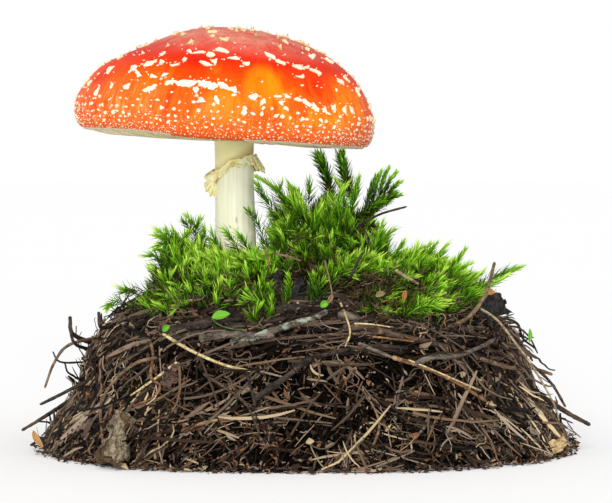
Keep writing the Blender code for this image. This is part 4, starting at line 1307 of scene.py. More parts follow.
def build_moss(settings):
    """Every cushion's leaves as one piece, with the lone shoots that stand out of it, and the tall shoots."""
    leaf = stalk_shape(3, ((0, 0.5), (0.33, 1.0), (0.70, 0.62), (1.0, 0)), True, 0.42)
    green = moss_finish()
    rng = np.random.default_rng(3)
    for short, domes in CUSHIONS.items():
        shoots = [shoot for dome in domes for shoot in dome_shoots(rng, settings, short, dome)]
        for kind, foot, tip in LONE_SHOOTS.get(short, ()):
            tip, foot = np.array(tip) * MM, np.array(foot) * MM
            shoots.append((kind, foot + (foot - tip) * 0.35, tip, 0.05, domes[0][5]))
        grown = [shoot_leaves(rng, settings, *shoot) for shoot in shoots]
        leaves = {key: np.concatenate([part[key] for part in grown]) for key in grown[0]}
        count = len(leaves["length"])
        parts = math.ceil(count * LEAF_TRIANGLES / PIECE_LIMIT)
        for part in range(parts):
            here = slice(part * count // parts, (part + 1) * count // parts)
            name = f"moss_{short}" if parts == 1 else f"moss_{short}_{part + 1}"
            some = {key: rows[here] for key, rows in leaves.items()}
            piece = mesh_of_copies(name, *bent_leaves(leaf, some))
            finished(piece, name, green, "moss", [f"moss_cushion_{short}"] if part == 0 else (), 80)
    for node, (kind, foot, tip) in TALL_SHOOTS.items():
        leaves = shoot_leaves(rng, settings, kind, np.array(foot) * MM, np.array(tip) * MM, 0.02, (0, 0, 1))
        piece = mesh_of_copies(node + "_leaves", *bent_leaves(leaf, leaves))
        finished(piece, node + "_leaves", green, "moss", [node], 80)
    build_moss_mats()
    build_moss_debris()


def build_moss_debris():
    """Rootlets, dead stalks and needles caught between the shoots, on the cushions' front sides."""
    rng = np.random.default_rng(31)
    rows = 7
    stalk = stalk_shape(3, tapering((0.5, 0.8, 1, 1, 0.9, 0.7, 0.4)), False)
    seats, ways = [], []
    for short in ("left", "front", "middle", "right"):
        for dome in CUSHIONS[short]:
            (x0, y0), wide, deep, tall = dome_of(short, dome)
            for _ in range(int(3 + 190000 * wide * deep)):
                away, turn = rng.uniform(0.55, 1.02), rng.uniform(-3.0, -0.15)
                x, y = x0 + wide * away * math.cos(turn), y0 + deep * away * math.sin(turn)
                ground = heap_height(x, y)
                if ground < 44 * MM:
                    continue
                height = tall * dome_rise(away) * rng.uniform(0.3, 0.85)
                seats.append((x, y - 1.5 * MM, ground + 1.5 * MM + height))
                ways.append((rng.normal(0, 1), rng.normal(-0.3, 0.5), rng.normal(0, 0.7)))
    seats, ways = np.array(seats), unit(np.array(ways))
    count = len(seats)
    s = np.linspace(-0.5, 0.5, rows)[None, :, None]
    length = (rng.uniform(2.0, 7, count) * MM)[:, None, None]
    bow = unit(np.cross(ways, rng.normal(0, 1, (count, 3))))[:, None]
    bend = rng.normal(0, 0.9, count)[:, None, None] * length
    paths = seats[:, None] + ways[:, None] * s * length + bow * bend * s * s
    paths += rng.normal(0, 0.18, paths.shape) * MM
    out = np.tile(np.array([0.0, -0.8, 0.6]), (count, rows, 1))
    radius = rng.uniform(0.13, 0.32, count) * MM
    tint = rng.uniform(0.28, 0.80, count)
    piece = strand_mesh("moss_debris", stalk, paths, out, radius, tint)
    finished(piece, "moss_debris", strand_finish("debris_strand"), "litter", (), 80)


def build_moss_mats():
    """The dead moss and stalks inside each dome, nearly black as painted shade between the shoots: a lumpy
    mound a little under its leaves.
    """
    mat = Finish("moss_mat", Specular_IOR_Level=0.05)
    here = mat.place()
    tangle = mat.noise(here, 520, 5, 0.7, 0.6)
    # Painted shade: the mound is nearly black so that the gaps between the shoots read dark; its dull and dry
    # tints are dead moss.
    dark, dull, dry = (0.001, 0.002, 0.001), (0.008, 0.010, 0.002), (0.050, 0.045, 0.010)
    mat.colour(tangle.ramp((0.34, dark), (0.54, dull), (0.72, dry)))
    mat.roughness(0.8 + 0.15 * tangle)
    mat.bump(tangle, 1.2 * MM, 1.0)
    outline = [(0.0, 1.0)]
    outline += [(math.sin(a), math.cos(a)) for a in np.linspace(0, math.pi / 2, 14)[1:]] + [(0.0, 0.0)]
    for short, domes in CUSHIONS.items():
        for number, dome in enumerate(domes, 1):
            (x0, y0), wide, deep, tall = dome_of(short, dome)
            name = f"moss_mat_{short}_{number}"
            mound = turned(name, outline, 32)
            points = points_of(mound)
            share = 0.84 + 0.16 * crumpled(points * 3.1 + x0 * 90, 1.0, 3)
            x = x0 + points[:, 0] * wide * share
            y = y0 + points[:, 1] * deep * share
            ground = np.array([heap_height(a, b) for a, b in zip(x, y)]) - 1.5 * MM
            z = ground + points[:, 2] ** 0.9 * max(tall * 0.66 - 2 * MM, 1 * MM) * share
            z = np.where(ground < MOSS_EDGE - 3 * MM, ground - 7 * MM, z)
            move_points(mound, np.stack([x, y, z], axis=1))
            finished(mound, name, mat.material, "moss")


# ---------------------------------------------------------------- the litter


def corner_reach(x, y):
    """How far out a plan point is, 1 on the rounded oblong that the heap stands on."""
    return (np.abs(x) ** HEAP_ROUNDNESS + np.abs(y) ** HEAP_ROUNDNESS) ** (1 / HEAP_ROUNDNESS)


def heap_height(x, y):
    """The height of the heap's top above a plan point."""
    reach = corner_reach(x / HEAP_HALF_WIDTH, y / HEAP_HALF_DEPTH)
    return HEAP_TOP * (1 - min(reach, 1) ** HEAP_STEEPNESS)


def hollowed(height):
    """How far the heap's sides draw in at a height: most a third of the way up."""
    return 1 - 0.062 * bell(height, 23 * MM, 13 * MM)


def lumps(points, size, shift=0.0):
    """Smooth seedless unevenness between -1 and 1 at each point, its bumps about this size."""
    return np.array([noise.noise(Vector(p) / size + Vector((shift, shift, shift))) for p in points])


class HeapSkin:
    """The heap's surface by a turn round it and a distance down its side, going on over the floor."""

    def __init__(self):
        self.half_width, self.half_depth = HEAP_HALF_WIDTH, HEAP_HALF_DEPTH
        reach = 1 - np.linspace(1, 0, SIDE_STEPS) ** 1.6
        height = HEAP_TOP * (1 - reach**HEAP_STEEPNESS)
        reach = reach * hollowed(height)
        mean = (self.half_width + self.half_depth) / 2
        reach = np.append(reach, [1.03, 1.2])
        height = np.append(height, [0.0, 0.0])
        steps = np.hypot(np.diff(reach) * mean, np.diff(height))
        self.down = np.concatenate([[0], np.cumsum(steps)])
        self.reach, self.height = reach, height
        self.foot = self.down[SIDE_STEPS - 1]

    def at(self, turn, down):
        reach = np.interp(down, self.down, self.reach)
        height = np.interp(down, self.down, self.height)
        reach = reach / corner_reach(np.sin(turn), np.cos(turn))
        x = self.half_width * reach * np.sin(turn)
        y = -self.half_depth * reach * np.cos(turn)
        return np.stack([x, y, height], axis=-1)

    def out(self, turn, down):
        step = 0.4 * MM
        slope = self.at(turn, down + step) - self.at(turn, down - step)
        along = self.at(turn + 0.004, down) - self.at(turn - 0.004, down)
        return unit(np.cross(along, -slope))

    def girth(self, turn, down):
        """How far a turn of one radian goes along the surface."""
        return np.linalg.norm(self.at(turn + 0.01, down) - self.at(turn - 0.01, down), axis=-1) / 0.02


def walked(angle, length):
    """Across and along at each row of a strand that heads these ways, from its own middle."""
    step = length[:, None] / (angle.shape[1] - 1)
    ways = (np.cumsum(turned_to(angle) * step, axis=1) for turned_to in (np.cos, np.sin))
    return [way - way.mean(axis=1, keepdims=True) for way in ways]


def strand_paths(rng, skin, turn, down, heading, curl, length, lift, tilt, rows):
    """Where strands run over the heap: curved on its skin, each lifted a little and tilted out of it."""
    s = np.linspace(-0.5, 0.5, rows)[None]
    across, along = walked(heading[:, None] + curl[:, None] * s, length)
    girth = np.maximum(skin.girth(turn, down), LEAST_GIRTH)
    turns = turn[:, None] + across / girth[:, None]
    # A strand that would run out over the floor lies higher up instead.
    down = np.minimum(down, skin.foot + 1.5 * MM - along.max(axis=1))
    downs = np.maximum(down[:, None] + along, 2 * MM)
    wobble = rng.normal(0, 0.25, (len(turn), rows)) * MM
    out = skin.out(turns, downs)
    rise = lift[:, None] + tilt[:, None] * (s + 0.5) * length[:, None] + wobble
    return skin.at(turns, downs) + out * rise[..., None], out


def strand_mesh(name, shape, paths, out, radius, tint):
    """Copies of a straight stalk bent along paths, thinner at both ends."""
    points, faces = shape
    rows = paths.shape[1]
    row = np.rint(points[:, 2] * (rows - 1)).astype(int)
    along = unit(np.gradient(paths, axis=1))
    side = unit(np.cross(along, out))
    top = np.cross(side, along)
    placed = paths[:, row] + radius[:, None, None] * (
        side[:, row] * points[None, :, 0, None] + top[:, row] * points[None, :, 1, None]
    )
    placed[..., 2] = np.maximum(placed[..., 2], FLOOR_GAP)
    palette = palette_of(tint[:, None] * 0.98 + 0.006 * points[None, :, 0] + 0.01, points[None, :, 2])
    return mesh_of_copies(name, placed, faces, palette)


def headings(rng, seat, turn):
    """Which way strands lie: level near the top, falling lower down, and alike in each small bundle."""
    count = len(turn)
    z = seat[:, 2]
    level = rng.normal(0, 0.26, count) + 0.42 * np.sin(turn)
    bundle = lumps(seat, 21 * MM, 3)
    side = np.where(bundle + 0.9 * np.sin(turn) + rng.normal(0, 0.45, count) > 0, 1, -1)
    falling = side * rng.normal(1.0, 0.28, count)
    any_way = rng.uniform(-math.pi / 2, math.pi / 2, count)
    share = np.clip(0.62 * rng.random(count) + 0.38 * (0.5 + 1.3 * lumps(seat, 15 * MM, 8)), 0, 1)
    upper = np.where(share < 0.68, level, any_way)
    middle = np.where(share < 0.52, falling, np.where(share < 0.72, level, any_way))
    foot = np.where(share < 0.40, level, np.where(share < 0.7, falling, any_way))
    return np.where(z > 40 * MM, upper, np.where(z > 12 * MM, middle, foot))


def build_litter(settings):
    """The heap: a dark lumpy core, thousands of strands laid over it, chips between them and rootlets."""
    skin = HeapSkin()
    rng = np.random.default_rng(17)
    build_core(skin)
    rows = 6
    stalk = stalk_shape(3, tapering((0.45, 0.9, 1.0, 0.95, 0.85, 0.4)), False)
    strand = strand_finish("litter_strand")
    per_batch = settings.strand_count // STRAND_BATCHES
    for batch in range(STRAND_BATCHES):
        down = skin.foot - (skin.foot - skin.foot * 0.5 * 0.55) * rng.random(per_batch) ** 1.05
        turn = math.tau * (rng.random(per_batch) + batch) / STRAND_BATCHES + math.radians(45)
        size = rng.lognormal(0, 0.5, per_batch)
        length = np.clip(settings.strand_length * size, 4 * MM, 40 * MM)
        seat = skin.at(turn, down)
        swell = lumps(seat, 9 * MM) + 0.6 * lumps(seat, 22 * MM, 5) + 0.4 * lumps(seat, 5 * MM, 9)
        deep = rng.uniform(-3.2, 1.2, per_batch)
        lift = (deep + 3.0 * swell) * MM
        sticking = (rng.random(per_batch) < 0.07) * rng.uniform(0.2, 0.7, per_batch)
        length = np.where(sticking > 0, np.minimum(length, 12 * MM), length)
        tilt = rng.normal(0, 0.05, per_batch) + sticking
        curl = rng.normal(0, 0.5, per_batch) + (rng.random(per_batch) < 0.12) * rng.normal(0, 1.6, per_batch)
        heading = headings(rng, seat, turn)
        paths, out = strand_paths(rng, skin, turn, down, heading, curl, length, lift, tilt, rows)
        radius = settings.strand_radius * np.clip(rng.lognormal(0, 0.5, per_batch), 0.42, 2.8)
        name = f"litter_strands_{batch + 1}"
        # Painted shade: strands that lie deeper in the heap or in its hollows are darker.
        bright = 0.62 + 0.24 * deep + 0.6 * swell + 0.35 * lumps(seat, 30 * MM, 11)
        # Higher up, towards the moss, the strands are darker, and lower down lighter.
        bright = np.clip(bright, 0.10, 1) * (1.17 - 0.47 * np.clip((seat[:, 2] - 30 * MM) / (16 * MM), 0, 1))
        piece = strand_mesh(name, stalk, paths, out, radius, rng.random(per_batch) ** 0.85 * bright**0.8)
        finished(piece, name, strand, "litter", (), 80)
    build_chips(settings.chip_count, skin, rng)
    build_rootlets(settings.rootlet_count, skin, rng, strand)
    build_long_twigs(settings.long_twig_count, skin, rng, strand)


def build_core(skin):
    """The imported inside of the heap, a little under the strands."""
    steps = slice(4, SIDE_STEPS, 3)
    side = [(reach, height / HEAP_TOP) for reach, height in zip(skin.reach[steps], skin.height[steps])]
    core = turned("litter_core", [(0.0, 1.0)] + side + [(1.0, 0.0), (0.5, 0.0), (0.0, 0.0)], 160)
    points = points_of(core)
    lump = crumpled(points, 9, 4)
    shrink = 0.935 + 0.035 * lump
    flat = points[:, 2] <= 1e-6
    x, y = points[:, 0], points[:, 1]
    squarer = np.hypot(x, y) / np.maximum(corner_reach(x, y), 1e-9)
    points[:, 0] *= skin.half_width * shrink * squarer
    points[:, 1] *= skin.half_depth * shrink * squarer
    points[:, 2] = np.where(flat, 0, np.maximum(points[:, 2] * HEAP_TOP * (0.945 + 0.05 * lump), 0))
    move_points(core, points)
    finished(core, "litter_core", core_finish(), "litter", ["litter_heap"])


def build_chips(count, skin, rng):
    """Crumbs and flakes: one small bent slab, copied with its own size, tint and lie."""
    points, faces = stalk_shape(6, ((0, 1.0), (1.0, 0.86)), False)
    down = skin.foot + 4.5 * MM - skin.foot * 0.62 * rng.random(count) ** 1.35
    turn = rng.uniform(0, math.tau, count)
    seat = skin.at(turn, down)
    out = unit(skin.out(turn, down) + rng.normal(0, 0.45, (count, 3)))
    side = unit(np.cross(out, rng.normal(0, 1, (count, 3))))
    along = np.cross(out, side)
    size = np.clip(rng.lognormal(0, 0.5, count), 0.4, 3.0)[:, None, None] * 0.80 * MM
    ratio = rng.uniform(0.16, 0.60, count)[:, None, None]
    thick = rng.uniform(0.2, 0.6, count)[:, None, None] * MM
    angle = np.arctan2(points[:, 1], points[:, 0])[None]
    torn = 1
    for times in (2, 3):
        torn = torn + 0.3 * np.sin(angle * times + rng.uniform(0, 6, (count, 1)))
    x, y = ((points[None, :, k] * torn)[..., None] for k in (0, 1))
    curl = rng.normal(0, 0.35, count)[:, None, None] * x * x * size
    placed = seat[:, None] + side[:, None] * x * size + along[:, None] * y * size * ratio
    lift = rng.uniform(-1.0, 2.6, count)[:, None, None] * MM
    placed = placed + out[:, None] * (points[None, :, 2, None] * thick + curl + lift)
    placed[..., 2] = np.maximum(placed[..., 2], FLOOR_GAP)
    tint = rng.random(count) ** 0.9
    across = tint[:, None] * 0.97 + 0.01 * points[None, :, 0] + 0.015
    piece = mesh_of_copies("litter_chips", placed, faces, palette_of(across, 0.5 + 0.4 * points[None, :, 1]))
    chip = Finish("litter_chip", Roughness=0.78, Specular_IOR_Level=0.15)
    tint_in, along_in = chip.palette()
    colour = tint_in.ramp(
        (0.0, (0.012, 0.008, 0.006)),
        (0.45, (0.045, 0.026, 0.017)),
        (0.66, (0.120, 0.060, 0.030)),
        (0.80, (0.240, 0.110, 0.040)),
        (0.90, (0.220, 0.190, 0.145)),
        (1.0, (0.500, 0.370, 0.200)),
    )
    chip.colour(chip.blend(along_in.rise(0.1, 0.9) * 0.3, colour, (0.05, 0.03, 0.02)))
    finished(piece, "litter_chips", chip.material, "litter", (), 30)


def build_rootlets(count, skin, rng, strand):
    """Thin curly roots, the reddest things in the heap."""
    rows = 14
    stalk = stalk_shape(3, tapering([1.0 - 0.5 * k / rows for k in range(rows)]), False)
    down = skin.foot + 3 * MM - skin.foot * 0.5 * rng.random(count)
    turn = rng.uniform(0, math.tau, count)
    length = rng.uniform(12, 34, count) * MM
    s = np.linspace(0, 1, rows)[None]
    wave = rng.uniform(1.0, 3.0, (count, 1))
    angle = rng.uniform(-2, 2, (count, 1)) + 1.3 * np.sin(wave * s * math.tau + rng.uniform(0, 6, (count, 1)))
    across, along = walked(angle, length)
    girth = np.maximum(skin.girth(turn, down), LEAST_GIRTH)
    turns = turn[:, None] + across / girth[:, None]
    downs = np.maximum(down[:, None] + along, 2 * MM)
    out = skin.out(turns, downs)
    rise = rng.uniform(0.5, 2.4, (count, 1)) + 1.2 * np.sin(s * 9 + rng.uniform(0, 6, (count, 1)))
    paths = skin.at(turns, downs) + out * rise[..., None] * MM
    radius = rng.uniform(0.16, 0.34, count) * MM
    tint = np.where(rng.random(count) < 0.3, rng.uniform(0.74, 0.82, count), rng.uniform(0.3, 0.95, count))
    piece = strand_mesh("litter_rootlets", stalk, paths, out, radius, tint)
    finished(piece, "litter_rootlets", strand, "litter", (), 80)


def build_long_twigs(count, skin, rng, strand):
    """Thin long twigs laid across the heap's upper slopes, over the shorter strands."""
    rows = 12
    stalk = stalk_shape(4, tapering([1.0 - 0.45 * k / rows for k in range(rows)]), False)
    down = skin.foot * (0.60 + 0.29 * rng.random(count))
    turn = rng.uniform(0, math.tau, count)
    seat = skin.at(turn, down)
    z = seat[:, 2]
    length = rng.uniform(15, 38, count) * MM
    level = rng.normal(0, 0.35, count) + 0.45 * np.sin(turn)
    heading = np.where(z > 30 * MM, level, headings(rng, seat, turn))
    curl = rng.normal(0, 0.55, count)
    lift = rng.uniform(0.6, 3.2, count) * MM
    # Some of those higher up stand out of the heap.
    standing = (rng.random(count) < 0.22) & (z > 16 * MM)
    length = np.where(standing, np.minimum(length, 26 * MM), length)
    tilt = np.where(standing, rng.uniform(0.15, 0.55, count), rng.normal(0, 0.03, count))
    paths, out = strand_paths(rng, skin, turn, down, heading, curl, length, lift, tilt, rows)
    radius = rng.uniform(0.22, 0.72, count) * MM
    tint = rng.uniform(0.16, 0.72, count)
    piece = strand_mesh("litter_long_twigs", stalk, paths, out, radius, tint)
    finished(piece, "litter_long_twigs", strand, "litter", (), 80)


# ---------------------------------------------------------------- twigs, straws, bark and leaves


def heap_front(x, z, stand_off, back=False):
    """The point on the heap's front, or its back, at this place across and up, lifted off it. Millimetres."""
    reach = max(0.0, 1 - z * MM / HEAP_TOP) ** (1 / HEAP_STEEPNESS) * hollowed(z * MM)
    aside = abs(x * MM) / HEAP_HALF_WIDTH
    share = max(0.0, reach**HEAP_ROUNDNESS - aside**HEAP_ROUNDNESS) ** (1 / HEAP_ROUNDNESS)
    y = (HEAP_HALF_DEPTH * share + stand_off * MM) * (1 if back else -1)
    return (x * MM, y, z * MM)


# Each twig: the node that it stands for, finish, thickness, how knobbly it is, lift off the heap and route,
# in millimetres. A point of two numbers is across and up on the heap's front.
TWIGS = {
    "branch_black": (
        "black_branch", "black", 4.4, 0.5, 2.6,
        ((-55, 48.5), (-43, 51.5), (-30, 54), (-15, 57.5), (1, 58.6)),
    ),
    "branch_black_lower": (None, "black", 2.6, 0.5, 2.4, ((-52, 46), (-38, 49.5), (-24, 52), (-8, 54.5))),
    "twig_lichen": (
        "lichen_twig", "lichen", 3.0, 0.6, 3.4,
        ((-28.5, 46.2), (-19, 48.4), (-8, 51.6), (2, 55), (8, 57.5)),
    ),
    "twig_knobbed": (
        "knobbed_twig", "black", 2.6, 0.4, 3.6,
        ((-19, 26), (-13, 30), (-6, 35), (0, 39.5), (5.5, 42.3)),
    ),
    "twig_cut": ("cut_twig", "grey", 3.6, 0.3, 1.6, ((12, 56), (17, 55), (23, 52.8))),
    "twig_grey_bent": (
        "grey_bent_twig", "grey", 2.2, 0.35, 3.8,
        ((40, 38), (47, 40.4), (55, 40.6), (64, 42.5), (75, 45.5)),
    ),
    "stick_split": ("split_stick", "orange", 1.7, 0.2, 3.8, ((32, 41), (44, 37), (56, 31), (68, 23.2))),
    "stick_split_upper": (None, "grey", 1.5, 0.2, 3.6, ((19.5, 46), (27, 43), (34.5, 39.8))),
    "straw_by_stick": (None, "straw", 0.7, 0.1, 4.6, ((38, 40), (50, 34.8), (63, 28.6))),
    "straw_upper": (None, "straw", 0.7, 0.1, 4.2, ((18, 53), (25, 52.6), (33, 51.4))),
    "stick_upper_tan": (None, "orange", 0.9, 0.1, 4.2, ((22.5, 48.6), (31, 47.6), (40.5, 46.3))),
    "stick_thin": ("thin_stick", "pale", 1.2, 0.15, 3.8, ((52, 33), (59, 30.3), (66, 27.2))),
    "twig_long_side": (
        "long_side_twig", "tan", 1.8, 0.2, 4.8,
        ((66, 39), (78, 34.5), (90, 31), (98.5, 28.4)),
    ),
    "twig_low_side": ("low_side_twig", "bark", 2.2, 0.3, 1.0, ((92, 21), (102, -27, 15.5), (111.5, -22, 10))),
    "twig_upright": (
        "upright_twig", "tan", 1.7, 0.25, 1.6,
        ((54, 50.5), (61, -58, 55), (67.5, -55, 63), (71.3, -52, 75.5)),
    ),
    "twig_springing": (
        "springing_twig", "black", 1.15, 0.1, 0,
        ((14, -10, 82), (21.5, -20, 88.5), (29, -27, 93), (39, -30, 96)),
    ),
    "twig_left_upper": (
        "left_upper_twig", "bark", 2.0, 0.3, 1.2,
        ((-84, 40), (-91, -24, 46), (-92.5, -23, 53)),
    ),
    "twig_left_arched": (
        "left_arched_twig", "tan", 1.3, 0.2, 1.2,
        ((-80, 44.5), (-91, -40, 43), (-97, -37, 36), (-101, -35, 26)),
    ),
    "twig_left_low": (
        "left_low_twig", "bark", 1.6, 0.3, 1.0,
        ((-94, 18), (-103, -30, 13.5), (-111, -26, 8.5)),
    ),
    "straw_pale": (
        "pale_straw", "straw", 1.35, 0.05, 4.8,
        ((-54, 48.5), (-43, 43.2), (-31, 38.6), (-20.5, 36.2)),
    ),
    "straw_tan": ("tan_straw", "straw", 1.1, 0.05, 4.6, ((-48, 38.8), (-57, 32), (-66, 25.5))),
    "straw_short": ("short_straw", "straw", 0.9, 0.03, 5.0, ((12.5, 61), (14.8, 56), (16.4, 50), (14.5, 45))),
    "twig_rear": ("rear_twig", "bark", 2.4, 0.35, 1.6, ((-58, 40), (-30, 43), (8, 38))),
    "branch_rear": ("rear_branch", "black", 3.4, 0.45, 1.8, ((24, 22), (52, 31), (74, 36))),
    "arc_left": (None, "tan", 1.5, 0.2, 4.6, ((-56, 40), (-64, 37.5), (-72, 31), (-78, 21), (-76, 8))),
    "arc_left_low": (None, "bark", 1.3, 0.2, 2.6, ((-50, 36), (-60, 28), (-68, 18), (-72, 9))),
    "twig_thin_curved": (
        None, "pale", 0.95, 0.08, 0,
        (
            (66, -54, 58), (72.4, -56, 53.5), (79.3, -56, 44.7),
            (85.8, -55, 35.9), (94.6, -47, 21), (97, -44, 14),
        ),
    ),
    "twig_right_tip": (None, "bark", 1.5, 0.2, 1.5, ((78, 41), (88, 34), (98, 25), (104, 15))),
    "twig_left_star": (None, "black", 1.8, 0.2, 1.4, ((-74, 50), (-78.5, -42, 50), (-79.5, -42, 56))),
    "twig_left_spike": (None, "black", 1.4, 0.2, 1.4, ((-85, 38), (-89, -36, 43), (-91.5, -36, 50))),
    "twig_left_whisker": (None, "bark", 0.9, 0.2, 1.4, ((-88, 33), (-95, -34, 36), (-98, -34, 40))),
    "twig_left_flat": (None, "black", 1.6, 0.3, 1.6, ((-82, 30), (-93, -36, 24.5), (-103, -34, 19.5))),
    "twig_left_foot": (None, "black", 1.5, 0.3, 1.0, ((-88, 12), (-98, -34, 8), (-107, -32, 3.4))),
    "stick_red": (None, "orange", 1.6, 0.15, 2.2, ((-46, 14), (-36, 17.5), (-24, 19.5))),
    "root_upper": (None, "bark", 1.3, 0.2, 2.4, ((-24, 46), (-8, 51), (4, 53.6), (18, 53))),
    "stick_grey_low": (None, "grey", 1.3, 0.2, 2.2, ((33, 18), (34, 26), (36, 34))),
    "straw_low": (None, "tan", 1.1, 0.1, 2.2, ((24, 8), (27, 17), (23, 27))),
    "twig_dark_long": (None, "bark", 1.5, 0.25, 2.4, ((-30, 44), (-10, 47.5), (10, 49), (30, 49.5))),
    "twig_front_bark": (None, "bark", 3.0, 0.4, 1.6, ((14, 51.5), (26, 50.5), (40, 47), (54, 43.5))),
    "stick_torn": (None, "grey", 3.2, 0.5, 3.8, ((-40, 47.6), (-31, 48.8), (-22, 49), (-12, 48.6))),
    "twig_arch_right": (
        None, "black", 1.2, 0.2, 0,
        ((72, -42, 52), (77, -38, 53), (82, -34, 50.5), (84, -32, 45), (89, -30, 41)),
    ),
    "twig_arch_right_low": (
        None, "black", 0.9, 0.2, 0,
        ((74, -44, 48), (80, -38, 50), (86, -33, 46), (90, -30, 39)),
    ),
    "straw_in_moss": (None, "tan", 0.7, 0.1, 0, ((7, -50, 76), (8.6, -55, 70), (10.2, -59, 62))),
    "twig_in_moss": (None, "tan", 1.0, 0.2, 0, ((-12.5, -48, 78.6), (-7, -51, 77.6), (-2, -53, 76))),
    "twig_in_moss_dark": (None, "black", 1.3, 0.2, 0, ((16.5, -52, 69), (19, -52, 74), (21.6, -50, 79))),
    "stem_in_moss": (None, "orange", 0.8, 0.2, 0, ((-16, -46, 81), (-14.6, -50, 77), (-14, -52, 73))),
    "root_red": (
        None, "orange", 1.2, 0.35, 4.6,
        ((-61, 50), (-57.5, 42), (-58, 33), (-54.5, 30), (-57, 25.5), (-65.5, 21.5)),
    ),
    "leaf_stalk": (
        None, "stalk", 0.36, 0.05, 0,
        ((-35, -70.4, 55.2), (-32, -72, 53), (-27, -72.5, 51.6), (-23, -72, 51.4)),
    ),
    "stick_in_moss": (None, "pale", 1.3, 0.25, 0, ((34, -50, 72.4), (38, -55, 70), (42.4, -56, 67.4))),
    "twig_crossing": (None, "bark", 1.2, 0.2, 4.2, ((-38, 35), (-30, 30), (-22, 24), (-17, 14))),
    "twig_down_dark": (None, "black", 1.1, 0.2, 4.2, ((-22, 36), (-19.5, 27), (-18, 18))),
    "twig_front_low": (None, "black", 2.0, 0.35, 2.2, ((-6, 37), (8, 42), (24, 45), (38, 44))),
}
TWIG_SIDES = 3
TWIG_SEED = 5


def twig_finishes():
    """The finishes of the twigs and straws, by short name: the material and the record's slot."""
    rusty = (0.26, 0.10, 0.03)
    looks = (
        ("twig_black", "dark_twig", (0.012, 0.009, 0.007), (0.062, 0.045, 0.034), (0.12, 0.075, 0.045), 0.0),
        ("twig_bark", "brown_twig", (0.030, 0.019, 0.013), (0.125, 0.080, 0.052), (0.19, 0.12, 0.075), 0.02),
        ("twig_lichen", "bark", (0.055, 0.045, 0.034), (0.155, 0.130, 0.100), (0.30, 0.34, 0.26), 0.12),
        ("twig_grey", "bark", (0.055, 0.044, 0.034), (0.210, 0.170, 0.130), (0.10, 0.06, 0.035), 0.02),
        ("twig_orange", "brown_twig", (0.090, 0.040, 0.020), (0.270, 0.145, 0.072), (0.42, 0.26, 0.13), 0.05),
        ("twig_tan", "brown_twig", (0.075, 0.045, 0.026), (0.270, 0.185, 0.110), rusty, 0.0),
        ("twig_pale", "brown_twig", (0.20, 0.15, 0.085), (0.50, 0.40, 0.25), rusty, -0.02),
        ("leaf_stalk", "green_leaf", (0.06, 0.15, 0.02), (0.13, 0.27, 0.05)),
        ("straw", "straw", (0.42, 0.31, 0.13), (0.78, 0.66, 0.36), (0.30, 0.20, 0.08), -0.04, 700),
    )
    return {name.split("_")[-1]: (bark_finish(name, *look), slot) for name, slot, *look in looks}


def build_twig(name, node, finish, thick, knobs, lift, points, back):
    """A tube along a smooth route, swollen at its knots, roughened and tapered."""
    route = [heap_front(p[0], p[1], lift, back) if len(p) == 2 else tuple(c * MM for c in p) for p in points]
    count = 12 * len(points)
    path = smooth_route(route, count)
    chance = random.Random(name)
    deselect()
    bpy.ops.curve.primitive_nurbs_path_add()
    made = bpy.context.object
    curve = made.data
    curve.splines.clear()
    spline = curve.splines.new("POLY")
    spline.points.add(count - 1)
    curve.dimensions = "3D"
    curve.bevel_depth = thick / 2 * MM
    curve.bevel_resolution = TWIG_SIDES
    curve.use_fill_caps = True
    wander = np.array([chance.uniform(-9, 9) for _ in range(3)])
    for i, here in enumerate(path):
        t = i / (count - 1)
        drift = Vector(here) * 60 + Vector(wander)
        shift = np.array(noise.noise_vector(drift)) * knobs * thick * 0.5 * MM
        spline.points[i].co = (*(here + shift), 1)
        swell = 1 + knobs * max(0, noise.noise(Vector((t * count / 5, wander[0], 0)))) * 1.2
        spline.points[i].radius = swell * (1 - 0.32 * t) * (0.55 if i in (0, count - 1) else 1)
    bpy.ops.object.convert(target="MESH")
    twig = bpy.context.object
    settle(twig)
    mesh_points = points_of(twig)
    rough = crumpled(mesh_points, 900, 2)
    axis = path[np.argmin(((mesh_points[:, None] - path[None]) ** 2).sum(axis=2), axis=1)]
    mesh_points += (mesh_points - axis) * (rough * knobs * 0.45)[:, None]
    mesh_points[:, 2] = np.maximum(mesh_points[:, 2], FLOOR_GAP)
    move_points(twig, mesh_points)
    finished(twig, name, *finish, [node] if node else (), 70)


def build_twigs():
    """Every twig, branch and straw. The vector noise that they wander by is seeded here."""
    noise.seed_set(TWIG_SEED)
    finishes = twig_finishes()
    for name, (node, finish, thick, knobs, lift, points) in TWIGS.items():
        build_twig(name, node, finishes[finish], thick, knobs, lift, points, "rear" in name)


